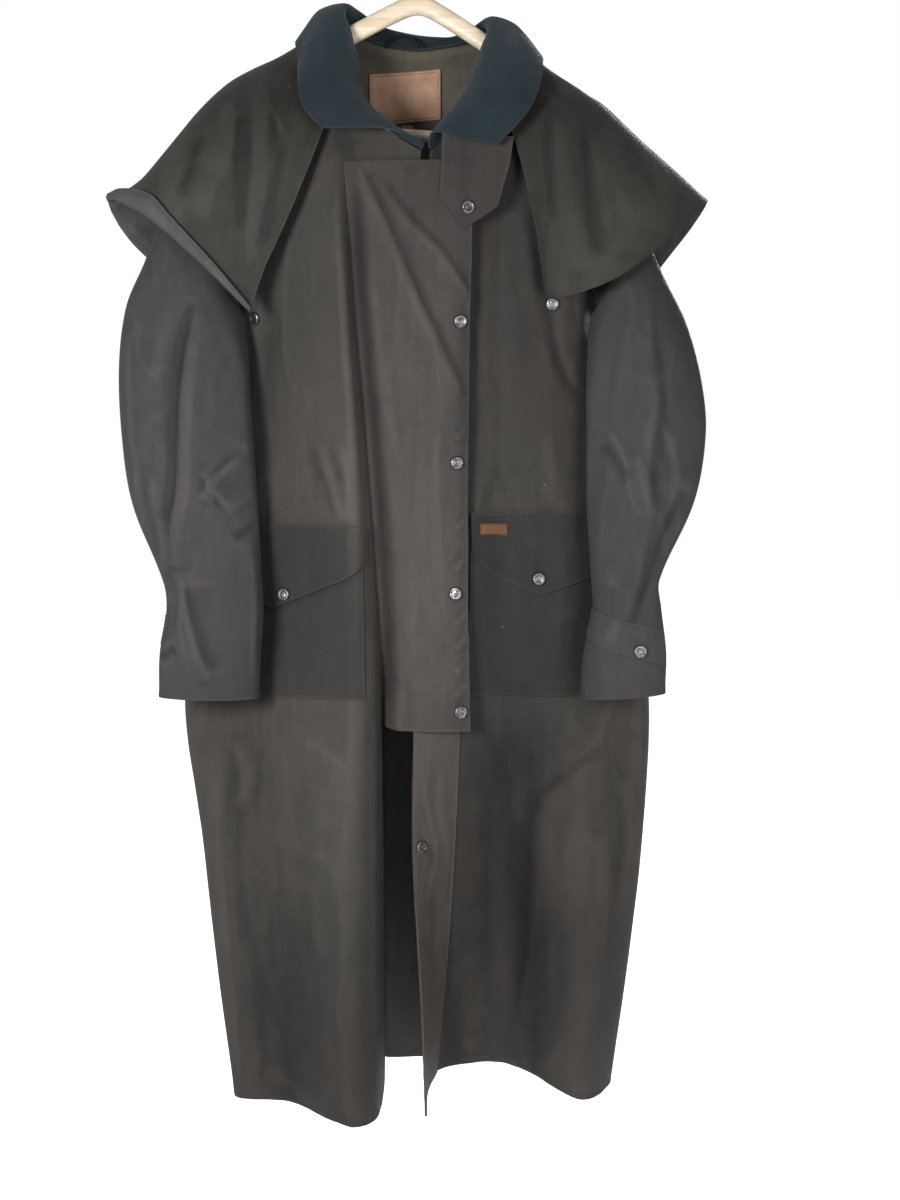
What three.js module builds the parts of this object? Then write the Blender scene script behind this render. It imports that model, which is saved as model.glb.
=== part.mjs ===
// A long waxed-cotton duster coat with a shoulder cape, hung on a wooden suit hanger.
// Millimetres, +Z up. The coat's front faces -Y, and the wearer's right is -X.
// The origin is the point inside the top of the hanger's hook where the hook rests on a rail.
import * as THREE from "three";
import { mergeVertices } from "three/addons/utils/BufferGeometryUtils.js";

// Driving dimensions
const CLOTH = 1.5; // waxed cotton, with its turned-in edges
const COLLAR_CLOTH = 2; // cord top collar with its interlining
const LEATHER = 1.6;
const SEAM_GAP = 0.3; // between neighbouring pieces
const HEM_Z = -1440;
const UNDERARM_Z = -455;
const YOKE_SEAM_Z = -330;
const ARMHOLE_DEPTH = 46; // each way from the shoulder seam
const NECK_X = 95; // half the width of the neck opening at the shoulder seam

// Wooden hanger
const ARM_TOP_Z = -99; // where the tops of both arms would meet
const ARM_SLOPE = 0.583;
const ARM_ROUND = 12; // half the width of the rounded peak between the arms
const HANGER_LEAN = 0.064; // the hanger hangs a little lower on the wearer's left
const ARM_REACH = 204;
const ARM_TALL = 24;
const ARM_THICK = 15;
const BAR = { z: -270, radius: 7, reach: 176 };
const HOOK = { wire: 4, bow: 20, tipTurn: -0.5 };

// Snap fasteners
const SNAP_RADIUS = 8;
const SNAP_TALL = 3;
const SNAP_LIFT = 0.75; // from the cloth's mid-face offset, clear of its facets

const COLOURS = {
  waxed: 0x4b4844,
  cord: 0x36424a,
  leather: 0x7a5f50,
  wood: 0xc5b39b,
  metal: 0x8a8a8e,
  wire: 0xb4b6ba,
};

const coat = new THREE.Group();
const add = (name, geometry, kind) => {
  const metal = kind === "metal" || kind === "wire";
  const material = new THREE.MeshStandardMaterial({
    color: COLOURS[kind],
    roughness: metal ? 0.35 : 0.75,
    metalness: metal ? 0.9 : 0,
  });
  const mesh = new THREE.Mesh(geometry, material);
  mesh.name = name;
  coat.add(mesh);
  return mesh;
};

// Height of the top of the hanger's arms, which carries both shoulder seams.
const armTop = (x) => ARM_TOP_Z - ARM_SLOPE * Math.hypot(x, ARM_ROUND) - HANGER_LEAN * x;
const bodyTop = (x) => armTop(x) + SEAM_GAP + CLOTH / 2 + 0.6;

// A smooth curve through four points a to d, between b and c, with the spacing of the knots kept.
function through(a, b, c, d, ka, kb, kc, kd, t) {
  const h = kc - kb;
  const s = (t - kb) / h;
  const s2 = s * s;
  const s3 = s2 * s;
  return b.map((_, i) => {
    const before = (h * (c[i] - a[i])) / (kc - ka || h);
    const after = (h * (d[i] - b[i])) / (kd - kb || h);
    return (
      (2 * s3 - 3 * s2 + 1) * b[i] +
      (s3 - 2 * s2 + s) * before +
      (3 * s2 - 2 * s3) * c[i] +
      (s3 - s2) * after
    );
  });
}

function alongCurve(points, knots, place) {
  const last = points.length - 1;
  const i = Math.min(last - 1, Math.max(0, Math.floor(place)));
  const at = (k) => Math.min(last, Math.max(0, k));
  const t = knots[i] + (place - i) * (knots[i + 1] - knots[i]);
  return through(
    points[at(i - 1)],
    points[i],
    points[i + 1],
    points[at(i + 2)],
    knots[at(i - 1)],
    knots[i],
    knots[i + 1],
    knots[at(i + 2)],
    t,
  );
}

const distance = (a, b) => Math.hypot(...a.map((v, i) => v - b[i]));

// Knots at the mean distance between neighbouring rows of points.
function spacing(rows) {
  const knots = [0];
  for (let i = 1; i < rows.length; i++) {
    const steps = rows[i].map((p, j) => distance(p, rows[i - 1][j]));
    knots.push(knots[i - 1] + steps.reduce((s, v) => s + v, 0) / steps.length);
  }
  return knots;
}

// A smooth surface through a table of sections. Rows run down the cloth, ribs run across it.
function loft(rows) {
  const ribs = rows[0].map((_, j) => rows.map((r) => r[j]));
  const acrossKnots = spacing(ribs);
  const downKnots = spacing(rows);
  return (rib, row) => {
    const section = rows.map((r) => alongCurve(r, acrossKnots, rib));
    return alongCurve(section, downKnots, row);
  };
}

// The points of a surface at chosen places down and across, with a normal at each.
class Cloth {
  constructor(points, away) {
    this.points = points;
    this.rows = points.length;
    this.columns = points[0].length;
    this.normals = this.findNormals(away);
  }

  static sample(surface, downs, acrosses, away, adjust = (p) => p) {
    const points = downs.map((d) => acrosses.map((a) => adjust(surface(a, d), a, d)));
    return new Cloth(points, away);
  }

  findNormals(away) {
    const v = (i, j) => new THREE.Vector3(...this.points[i][j]);
    const grid = this.points.map((line, i) =>
      line.map((_, j) => {
        const up = v(Math.max(0, i - 1), j);
        const down = v(Math.min(this.rows - 1, i + 1), j);
        const left = v(i, Math.max(0, j - 1));
        const right = v(i, Math.min(this.columns - 1, j + 1));
        return down.sub(up).cross(right.sub(left)).normalize();
      }),
    );
    const mi = this.rows >> 1;
    const mj = this.columns >> 1;
    const outward = v(mi, mj).sub(new THREE.Vector3(...away)).dot(grid[mi][mj]) > 0;
    return outward ? grid : grid.map((line) => line.map((n) => n.negate()));
  }

  // Point and normal at a fractional row and column, on the facets.
  at(row, column) {
    const i = Math.min(this.rows - 2, Math.max(0, Math.floor(row)));
    const j = Math.min(this.columns - 2, Math.max(0, Math.floor(column)));
    const [s, t] = [row - i, column - j];
    const point = [0, 0, 0];
    const normal = new THREE.Vector3();
    for (const [k, l, w] of [
      [i, j, (1 - s) * (1 - t)],
      [i, j + 1, (1 - s) * t],
      [i + 1, j, s * (1 - t)],
      [i + 1, j + 1, s * t],
    ]) {
      this.points[k][l].forEach((c, axis) => (point[axis] += w * c));
      normal.addScaledVector(this.normals[k][l], w);
    }
    return { point, normal: normal.normalize() };
  }

  lifted(row, column, lift) {
    const { point, normal } = this.at(row, column);
    return [point[0] + normal.x * lift, point[1] + normal.y * lift, point[2] + normal.z * lift];
  }

  // The fractional row and column where the cloth passes a place seen from the front.
  find(x, z) {
    let best = [0, 0, Infinity];
    for (let i = 0; i < this.rows; i++)
      for (let j = 0; j < this.columns; j++) {
        const p = this.points[i][j];
        const d = Math.hypot(p[0] - x, p[2] - z);
        if (d < best[2]) best = [i, j, d];
      }
    let [row, column] = best;
    for (let step = 1; step > 0.002; step /= 1.6) {
      for (const [a, b] of [
        [step, 0],
        [-step, 0],
        [0, step],
        [0, -step],
      ]) {
        const r = Math.min(this.rows - 1, Math.max(0, row + a));
        const c = Math.min(this.columns - 1, Math.max(0, column + b));
        const p = this.at(r, c).point;
        const d = Math.hypot(p[0] - x, p[2] - z);
        if (d < best[2]) {
          best = [r, c, d];
          [row, column] = [r, c];
        }
      }
    }
    return [row, column];
  }

  // A closed wall on both sides of the points, with rims all round.
  solid(thickness = CLOTH, trim = (p) => p) {
    const half = thickness / 2;
    const face = (side) =>
      this.points.map((line, i) =>
        line.map((p, j) => {
          const n = this.normals[i][j];
          const moved = [p[0] + n.x * half * side, p[1] + n.y * half * side, p[2] + n.z * half * side];
          return trim(moved);
        }),
      );
    return closedWall(face(1), face(-1));
  }
}

// Joins two grids of points into one closed body.
function closedWall(outer, inner) {
  const rows = outer.length;
  const columns = outer[0].length;
  const position = [...outer.flat(), ...inner.flat()].flat();
  const o = (i, j) => i * columns + j;
  const n = (i, j) => rows * columns + i * columns + j;
  const index = [];
  const quad = (a, b, c, d) => index.push(a, b, c, a, c, d);
  for (let i = 0; i < rows - 1; i++)
    for (let j = 0; j < columns - 1; j++) {
      quad(o(i, j), o(i + 1, j), o(i + 1, j + 1), o(i, j + 1));
      quad(n(i, j), n(i, j + 1), n(i + 1, j + 1), n(i + 1, j));
    }
  for (let j = 0; j < columns - 1; j++) {
    quad(o(0, j), o(0, j + 1), n(0, j + 1), n(0, j));
    quad(o(rows - 1, j), n(rows - 1, j), n(rows - 1, j + 1), o(rows - 1, j + 1));
  }
  for (let i = 0; i < rows - 1; i++) {
    quad(o(i, 0), n(i, 0), n(i + 1, 0), o(i + 1, 0));
    quad(o(i, columns - 1), o(i + 1, columns - 1), n(i + 1, columns - 1), n(i, columns - 1));
  }
  return facingOut(position, index);
}

// Turns the faces round if the body came out inside out.
function facingOut(position, index) {
  const p = (k) => new THREE.Vector3().fromArray(position, 3 * k);
  let volume = 0;
  for (let k = 0; k < index.length; k += 3)
    volume += p(index[k]).dot(p(index[k + 1]).cross(p(index[k + 2])));
  if (volume < 0)
    for (let k = 0; k < index.length; k += 3)
      [index[k + 1], index[k + 2]] = [index[k + 2], index[k + 1]];
  const geometry = new THREE.BufferGeometry();
  geometry.setAttribute("position", new THREE.Float32BufferAttribute(position, 3));
  geometry.setIndex(index);
  geometry.computeVertexNormals();
  return geometry;
}

const range = (from, to, step) => {
  const count = Math.round((to - from) / step);
  return Array.from({ length: count + 1 }, (_, k) => from + (k * (to - from)) / count);
};

// Armholes. Each lies in one upright slanting plane, from the shoulder tip to the underarm.
const ARMHOLES = {
  right: { sign: -1, tipX: 222, underX: 208 },
  left: { sign: 1, tipX: 216, underX: 204 },
};
for (const a of Object.values(ARMHOLES)) {
  a.tip = [a.sign * a.tipX, bodyTop(a.sign * a.tipX)];
  a.under = [a.sign * a.underX, UNDERARM_Z];
}
function armholePoint(armhole, z, way) {
  const [tipX, tipZ] = armhole.tip;
  const [underX, underZ] = armhole.under;
  const share = Math.min(1, Math.max(0, (tipZ - z) / (tipZ - underZ)));
  const round = Math.sqrt(Math.max(0, 1 - (2 * share - 1) ** 2));
  return [tipX + (underX - tipX) * share, way * (SEAM_GAP / 2 + ARMHOLE_DEPTH * round), z];
}

// Sections of the two fronts. Each pair is the x and y of one rib, at the section's height.
// On the wearer's right front the ribs are side, flank, hollow, ridge, turn and edge.
const RIGHT_FRONT = [
  { z: -345, flank: [-180, -56], hollow: [-135, -66], ridge: [-97, -76], turn: [-74, -70], edge: [-8, -72] },
  { z: -455, flank: [-195, -44], hollow: [-145, -66], ridge: [-90, -86], turn: [-73, -72], edge: [-26, -70] },
  { z: -530, side: -223, flank: [-194, -35], hollow: [-147, -64], ridge: [-86, -89], turn: [-70, -72], edge: [-32, -70] },
  { z: -600, side: -227, flank: [-202, -33], hollow: [-150, -62], ridge: [-82, -91], turn: [-66, -73], edge: [-36, -70] },
  { z: -700, side: -232, flank: [-216, -33], hollow: [-158, -61], ridge: [-79, -92], turn: [-61, -75], edge: [-41, -70] },
  { z: -820, side: -268, flank: [-254, -34], hollow: [-172, -66], ridge: [-80, -98], turn: [-56, -80], edge: [-45, -66] },
  { z: -950, side: -291, flank: [-280, -38], hollow: [-182, -78], ridge: [-80, -102], turn: [-52, -84], edge: [-47, -56] },
  { z: -1120, side: -268, flank: [-264, -47], hollow: [-183, -87], ridge: [-86, -119], turn: [-52, -99], edge: [-46, -40] },
  { z: -1290, side: -246, flank: [-246, -60], hollow: [-169, -85], ridge: [-88, -138], turn: [-51, -112], edge: [-46, -25] },
  { z: HEM_Z, side: -222, flank: [-228, -68], hollow: [-155, -86], ridge: [-80, -152], turn: [-50, -124], edge: [-47, -12] },
];
const RIGHT_RIBS = ["flank", "hollow", "ridge", "turn", "edge"];

// On the wearer's left front the ribs are side, flank, lobe, valley, fly and edge.
const LEFT_FRONT = [
  { z: -345, flank: [176, -54], lobe: [138, -58], valley: [98, -62], fly: [62, -72], edge: [12, -72] },
  { z: -455, flank: [191, -44], lobe: [148, -61], valley: [95, -64], fly: [60, -76], edge: [8, -76] },
  { z: -530, side: 219, flank: [191, -35], lobe: [150, -60], valley: [93, -65], fly: [58, -78], edge: [6, -79] },
  { z: -600, side: 224, flank: [200, -33], lobe: [152, -59], valley: [92, -66], fly: [57, -79], edge: [4, -80] },
  { z: -700, side: 231, flank: [215, -33], lobe: [160, -59], valley: [93, -67], fly: [56, -80], edge: [2, -81] },
  { z: -820, side: 266, flank: [252, -36], lobe: [174, -66], valley: [97, -68], fly: [54, -80], edge: [-2, -83] },
  { z: -950, side: 283, flank: [273, -40], lobe: [185, -76], valley: [104, -64], fly: [50, -72], edge: [-6, -88] },
  { z: -1120, side: 275, flank: [270, -44], lobe: [190, -84], valley: [108, -38], fly: [42, -62], edge: [-8, -98] },
  { z: -1290, side: 257, flank: [255, -40], lobe: [192, -82], valley: [110, -17, -1284], fly: [31, -48, -1284], edge: [1, -113] },
  { z: HEM_Z, side: 234, flank: [239, -28], lobe: [196, -78], valley: [110, -7, -1424], fly: [19, -22, -1429], edge: [7, -126] },
];
const LEFT_RIBS = ["flank", "lobe", "valley", "fly", "edge"];

// Tops of the fronts: places along the shoulder seam, then the neckline down to the closure.
const FRONT_TOPS = {
  right: { shoulder: [-185, -140], neck: [[-66, -50, -248], [4, -72, -301]] },
  left: { shoulder: [182, 140], neck: [[66, -50, -252], [14, -72, -301]] },
};
// One section down from there, as the x, y and z of each rib.
const FRONT_YOKES = {
  right: [[-185, -38, -248], [-140, -46, -252], [-101, -56, -264], [-69, -62, -292], [2, -73, -326]],
  left: [[182, -38, -252], [140, -46, -256], [101, -56, -268], [68, -62, -296], [13, -72, -326]],
};

// A table of sections as rows of points: the shoulder and neck first, then down to the hem.
function frontRows(armhole, tops, yoke, table, ribs) {
  const flat = -SEAM_GAP / 2;
  const neckPoint = armhole.sign * NECK_X;
  const top = [
    armholePoint(armhole, armhole.tip[1], -1),
    ...tops.shoulder.map((x) => [x, flat, bodyTop(x)]),
    [neckPoint, flat, bodyTop(neckPoint)],
    ...tops.neck,
  ];
  const yokeRow = [armholePoint(armhole, yoke[0][2], -1), ...yoke];
  const lower = table.map((r) => {
    const side = r.side === undefined ? armholePoint(armhole, r.z, -1) : [r.side, flat, r.z];
    return [side, ...ribs.map((name) => [r[name][0], r[name][1], r[name][2] ?? r.z])];
  });
  return [top, yokeRow, ...lower];
}

// Between the shoulder seam and the section below, the cloth rounds over the hanger's arm.
const ARM_ROUNDING = 0.8;
function rounded(from, to, share) {
  const turn = (share * Math.PI) / 2;
  const out = ARM_ROUNDING * Math.sin(turn) + (1 - ARM_ROUNDING) * share;
  const down = ARM_ROUNDING * (1 - Math.cos(turn)) + (1 - ARM_ROUNDING) * share;
  return [
    from[0] + (to[0] - from[0]) * share,
    from[1] + (to[1] - from[1]) * out,
    from[2] + (to[2] - from[2]) * down,
  ];
}
function overTheArm(surface, neckRib) {
  const top = (rib) => {
    const beside = rib > neckRib && rib < neckRib + 1;
    return beside ? rounded(surface(neckRib, 0), surface(neckRib + 1, 0), rib - neckRib) : surface(rib, 0);
  };
  return (rib, row) => (row < 1 ? rounded(top(rib), surface(rib, 1), row) : surface(rib, row));
}

const TOP_PLACES = [0, 0.1, 0.24, 0.45, 0.7];
const FRONT_DOWN = [
  ...TOP_PLACES,
  ...range(1, 3, 0.5),
  3.5,
  4,
  5,
  ...range(6, 8, 0.5),
  ...range(8 + 1 / 3, 11, 1 / 3),
];
const FRONT_ACROSS = [0, 0.5, ...range(1, 3, 1 / 3), 3 + 1 / 6, ...range(3 + 1 / 3, 4, 1 / 3), 4.5, 5];
const NECK_RIB = 3; // the rib that ends at the side of the neck

// Keeps the armhole edge on the armhole's curve.
const onArmhole = (armhole, way) => (p, across) =>
  across === 0 && p[2] > UNDERARM_Z ? armholePoint(armhole, p[2], way) : p;

const SPINE = [0, 0, -700];
function makeFront(armhole, tops, yoke, table, ribs) {
  const rows = frontRows(armhole, tops, yoke, table, ribs);
  const surface = overTheArm(loft(rows), NECK_RIB);
  return Cloth.sample(surface, FRONT_DOWN, FRONT_ACROSS, SPINE, onArmhole(armhole, -1));
}
const rightFront = makeFront(ARMHOLES.right, FRONT_TOPS.right, FRONT_YOKES.right, RIGHT_FRONT, RIGHT_RIBS);
const leftFront = makeFront(ARMHOLES.left, FRONT_TOPS.left, FRONT_YOKES.left, LEFT_FRONT, LEFT_RIBS);
const inFront = (p) => [p[0], Math.min(p[1], -SEAM_GAP / 2), p[2]];
add("front_right", rightFront.solid(CLOTH, inFront), "waxed");
add("front_left", leftFront.solid(CLOTH, inFront), "waxed");

// Back. One yoke across both shoulders, and two lower backs joined down the middle.
const BACK_TOP = { shoulder: [165], neck: [[50, 42, -154], [0, 57, -158]] };
const YOKE_MIDDLE = [[168, 40, -252], [102, 48, -236], [50, 54, -236], [0, 58, -238]];
const BACK_SECTIONS = [
  { z: YOKE_SEAM_Z, flank: [165, 53], blade: [105, 57], hollow: [50, 59], middle: 59 },
  { z: -400, flank: [165, 53], blade: [107, 57], hollow: [51, 58], middle: 58 },
  { z: UNDERARM_Z, flank: [174, 47], blade: [110, 55], hollow: [52, 57], middle: 57 },
  { z: -530, flank: [172, 43], blade: [109, 53], hollow: [52, 55], middle: 55 },
  { z: -600, flank: [180, 42], blade: [112, 52], hollow: [53, 53], middle: 53 },
  { z: -700, flank: [195, 45], blade: [120, 54], hollow: [56, 50], middle: 52 },
  { z: -820, flank: [228, 54], blade: [136, 61], hollow: [62, 51], middle: 55 },
  { z: -950, flank: [252, 62], blade: [150, 67], hollow: [70, 54], middle: 60 },
  { z: -1120, flank: [250, 70], blade: [150, 73], hollow: [72, 56], middle: 64 },
  { z: -1290, flank: [236, 73], blade: [146, 76], hollow: [70, 54], middle: 58 },
  { z: HEM_Z, flank: [222, 74], blade: [142, 78], hollow: [66, 52], middle: 54 },
];
// The side seams of the back follow those of the fronts.
const frontSide = (armhole, z) => {
  const table = armhole.sign < 0 ? RIGHT_FRONT : LEFT_FRONT;
  const row = table.find((r) => r.z === z);
  return row && row.side;
};
function backRow(armhole, section) {
  const { sign } = armhole;
  const seam = frontSide(armhole, section.z);
  const side =
    seam === undefined ? armholePoint(armhole, section.z, 1) : [seam, SEAM_GAP / 2, section.z];
  const ribs = ["flank", "blade", "hollow"].map((name) => {
    const [x, y] = section[name];
    return [sign * x, y, section.z];
  });
  return [side, ...ribs, [0, section.middle, section.z]];
}
function yokeTop(armhole) {
  const { sign } = armhole;
  const seam = SEAM_GAP / 2;
  const alongSeam = [...BACK_TOP.shoulder, NECK_X].map((x) => [sign * x, seam, bodyTop(sign * x)]);
  return [
    armholePoint(armhole, armhole.tip[1], 1),
    ...alongSeam,
    ...BACK_TOP.neck.map(([x, y, z]) => [sign * x, y, z]),
  ];
}
function yokeMiddle(armhole) {
  const edge = armholePoint(armhole, YOKE_MIDDLE[0][2], 1);
  return [edge, ...YOKE_MIDDLE.map(([x, y, z]) => [armhole.sign * x, y, z])];
}
const mirrorJoin = (left, right) => left.map((row, i) => [...row, ...right[i].slice(0, -1).reverse()]);
const YOKE_ROWS = (armhole) => [
  yokeTop(armhole),
  yokeMiddle(armhole),
  backRow(armhole, BACK_SECTIONS[0]),
  backRow(armhole, BACK_SECTIONS[1]),
];
const yokeRows = mirrorJoin(YOKE_ROWS(ARMHOLES.right), YOKE_ROWS(ARMHOLES.left));
const YOKE_LAST_RIB = 8;
const YOKE_ACROSS = [0, 0.5, 1, 1.5, 2, 2.25, 2.5, 3, 3.5, 4, 4.5, 5, 5.5, 5.75, 6, 6.5, 7, 7.5, YOKE_LAST_RIB];
const YOKE_DOWN = [...TOP_PLACES, 1, 1.5, 2];
const yoke = Cloth.sample(
  overTheArm(loft(yokeRows), YOKE_LAST_RIB),
  YOKE_DOWN,
  YOKE_ACROSS,
  SPINE,
  (p, across) => {
    if (across === 0) return armholePoint(ARMHOLES.right, p[2], 1);
    if (across === YOKE_LAST_RIB) return armholePoint(ARMHOLES.left, p[2], 1);
    return p;
  },
);
add(
  "back_yoke",
  yoke.solid(CLOTH, (p) => [
    p[0],
    Math.max(p[1], SEAM_GAP / 2),
    Math.max(p[2], YOKE_SEAM_Z + SEAM_GAP / 2),
  ]),
  "waxed",
);

const BACK_DOWN = [0, 0.5, 1, 2, 3, 4, 5, 5.5, 6, 6.5, ...range(7, 10, 1 / 3)];
const BACK_ACROSS = [...range(0, 4, 0.5)];
function makeBack(armhole) {
  const rows = BACK_SECTIONS.map((s) => backRow(armhole, s));
  return Cloth.sample(loft(rows), BACK_DOWN, BACK_ACROSS, SPINE, onArmhole(armhole, 1));
}
const rightBack = makeBack(ARMHOLES.right);
const leftBack = makeBack(ARMHOLES.left);
const behind = (sign) => (p) => [
  sign < 0 ? Math.min(p[0], -SEAM_GAP / 2) : Math.max(p[0], SEAM_GAP / 2),
  Math.max(p[1], SEAM_GAP / 2),
  Math.min(p[2], YOKE_SEAM_Z - SEAM_GAP / 2),
];
add("back_right", rightBack.solid(CLOTH, behind(-1)), "waxed");
add("back_left", leftBack.solid(CLOTH, behind(1)), "waxed");

// Vent underlap: a strip inside the two lower backs, behind the slit down their middle.
const VENT = { topZ: -905, right: -1.4, left: 1 };
function makeUnderlap() {
  const lift = -(CLOTH + 2 * SEAM_GAP);
  const rows = [];
  for (let i = 0; i < rightBack.rows; i++) {
    if (rightBack.points[i][rightBack.columns - 1][2] > VENT.topZ) continue;
    const last = rightBack.columns - 1;
    const places = [
      rightBack.lifted(i, last + VENT.right, lift),
      rightBack.lifted(i, last - 1, lift),
      rightBack.lifted(i, last, lift),
      leftBack.lifted(i, last - VENT.left, lift),
    ];
    rows.push(places);
  }
  return new Cloth(rows, SPINE);
}
add("vent_underlap", makeUnderlap().solid(), "waxed");

// Sleeves. Each ring has its outer and inner points as x and z, the y of its middle, and half its depth.
const RIGHT_SLEEVE = [
  { outer: ARMHOLES.right.tip, inner: [-ARMHOLES.right.underX, UNDERARM_Z + 2], y: 0, depth: ARMHOLE_DEPTH },
  { outer: [-249, -252], inner: [-213, -462], y: -4, depth: 45 },
  { outer: [-277, -305], inner: [-217, -472], y: -14, depth: 43 },
  { outer: [-300, -362], inner: [-208, -487], y: -28, depth: 39 },
  { outer: [-322, -424], inner: [-204, -509], y: -42, depth: 36 },
  { outer: [-343, -477], inner: [-201, -534], y: -52, depth: 34 },
  { outer: [-351, -550], inner: [-198, -576], y: -62, depth: 33 },
  { outer: [-346, -640], inner: [-193, -648], y: -74, depth: 32 },
  { outer: [-333, -710], inner: [-188, -714], y: -85, depth: 32 },
  { outer: [-296, -800], inner: [-182, -803], y: -100, depth: 30 },
  { outer: [-293, -832], inner: [-181, -835], y: -104, depth: 29 },
  { outer: [-301, -882], inner: [-184, -884], y: -108, depth: 28 },
  { outer: [-302, -932], inner: [-186, -934], y: -111, depth: 27 },
];
const LEFT_SLEEVE = [
  { outer: ARMHOLES.left.tip, inner: [ARMHOLES.left.underX, UNDERARM_Z + 2], y: 0, depth: ARMHOLE_DEPTH },
  { outer: [233, -272], inner: [209, -463], y: -4, depth: 45 },
  { outer: [250, -329], inner: [214, -473], y: -14, depth: 43 },
  { outer: [266, -385], inner: [205, -487], y: -28, depth: 39 },
  { outer: [288, -441], inner: [201, -510], y: -42, depth: 36 },
  { outer: [314, -497], inner: [199, -539], y: -53, depth: 34 },
  { outer: [331, -562], inner: [197, -580], y: -63, depth: 33 },
  { outer: [336, -625], inner: [197, -634], y: -73, depth: 32 },
  { outer: [322, -704], inner: [197, -710], y: -85, depth: 31 },
  { outer: [280, -796], inner: [202, -801], y: -101, depth: 29 },
  { outer: [282, -828], inner: [203, -832], y: -105, depth: 28 },
  { outer: [288, -880], inner: [192, -884], y: -109, depth: 27 },
  { outer: [287, -928], inner: [189, -934], y: -112, depth: 26 },
];
const SLEEVE_TURNS = 16; // points round a ring
const SLEEVE_DOWN = [0, 0.5, 1, 1.5, 2, 3, 4, 5, 6, 6.5, 7, 7.5, 8, 8.5, 9, 10, 11, 12];
function sleeveSurface(table, sign) {
  const shift = sign * (SEAM_GAP + 1.1);
  const rows = table.map((r) => [
    [r.outer[0] + shift, r.outer[1], r.y],
    [r.inner[0] + shift, r.inner[1], r.y],
    [r.depth, 0, 0],
  ]);
  const knots = spacing(rows);
  return (turn, row) => {
    const [outer, inner, [depth]] = [0, 1, 2].map((k) => alongCurve(rows.map((r) => r[k]), knots, row));
    const c = Math.cos(turn);
    return [
      (outer[0] + inner[0]) / 2 + ((outer[0] - inner[0]) / 2) * c,
      outer[2] - depth * Math.sin(turn),
      (outer[1] + inner[1]) / 2 + ((outer[1] - inner[1]) / 2) * c,
    ];
  };
}
// A whole sleeve as rings of points that close on themselves, then cut into its two halves.
function makeSleeve(table, sign) {
  const surface = sleeveSurface(table, sign);
  const turns = range(-1, SLEEVE_TURNS + 1, 1).map((k) => (2 * Math.PI * k) / SLEEVE_TURNS);
  const middle = surface(Math.PI / 2, 6);
  const axis = surface(-Math.PI / 2, 6).map((v, i) => (v + middle[i]) / 2);
  const points = SLEEVE_DOWN.map((d) => turns.map((t) => surface(t, d)));
  const round = new Cloth(points, axis);
  const outward = round.points[8][5].map((v, i) => v - axis[i]);
  if (round.normals[8][5].dot(new THREE.Vector3(...outward)) < 0)
    round.normals = round.normals.map((line) => line.map((n) => n.negate()));
  const half = (from, way) => {
    const piece = Object.create(Cloth.prototype);
    const cut = (grid) => grid.map((line) => line.slice(from, from + SLEEVE_TURNS / 2 + 1));
    piece.points = cut(round.points).map((line) =>
      line.map((p, j) => {
        const atSeam = j === 0 || j === line.length - 1;
        return atSeam ? [p[0], p[1] + (way * SEAM_GAP) / 2, p[2]] : p;
      }),
    );
    piece.normals = cut(round.normals);
    piece.rows = piece.points.length;
    piece.columns = piece.points[0].length;
    return piece;
  };
  return { front: half(1, -1), back: half(1 + SLEEVE_TURNS / 2, 1) };
}
const rightSleeve = makeSleeve(RIGHT_SLEEVE, -1);
const leftSleeve = makeSleeve(LEFT_SLEEVE, 1);
add("sleeve_right_front", rightSleeve.front.solid(), "waxed");
add("sleeve_right_back", rightSleeve.back.solid(), "waxed");
add("sleeve_left_front", leftSleeve.front.solid(), "waxed");
add("sleeve_left_back", leftSleeve.back.solid(), "waxed");

// Every half step of a cloth, as points with normals.
function halfSteps(cloth) {
  const places = [];
  const [lastRow, lastColumn] = [2 * (cloth.rows - 1), 2 * (cloth.columns - 1)];
  for (let i = 0; i <= lastRow; i++)
    for (let j = 0; j <= lastColumn; j++) {
      const rim = i === 0 || j === 0 || i === lastRow || j === lastColumn;
      places.push({ ...cloth.at(i / 2, j / 2), rim });
    }
  return places;
}

// How far a point has to move, and which way, to be clear of the nearest place of the cloths below.
const STAND_OFF_REACH = 45;
const PAST_RIM = 4; // a point farther than this beyond a cloth's rim isn't over it
function lackOf(p, places, clear) {
  let near = null;
  let least = STAND_OFF_REACH;
  for (const place of places) {
    const q = place.point;
    if (Math.abs(q[2] - p[2]) > least || Math.abs(q[0] - p[0]) > least) continue;
    const d = Math.hypot(p[0] - q[0], p[1] - q[1], p[2] - q[2]);
    if (d < least) [near, least] = [place, d];
  }
  if (!near) return null;
  const { point: q, normal: n } = near;
  const height = (p[0] - q[0]) * n.x + (p[1] - q[1]) * n.y + (p[2] - q[2]) * n.z;
  if (near.rim && least ** 2 - height ** 2 > PAST_RIM ** 2) return null;
  return { lack: clear - height, n };
}

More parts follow.
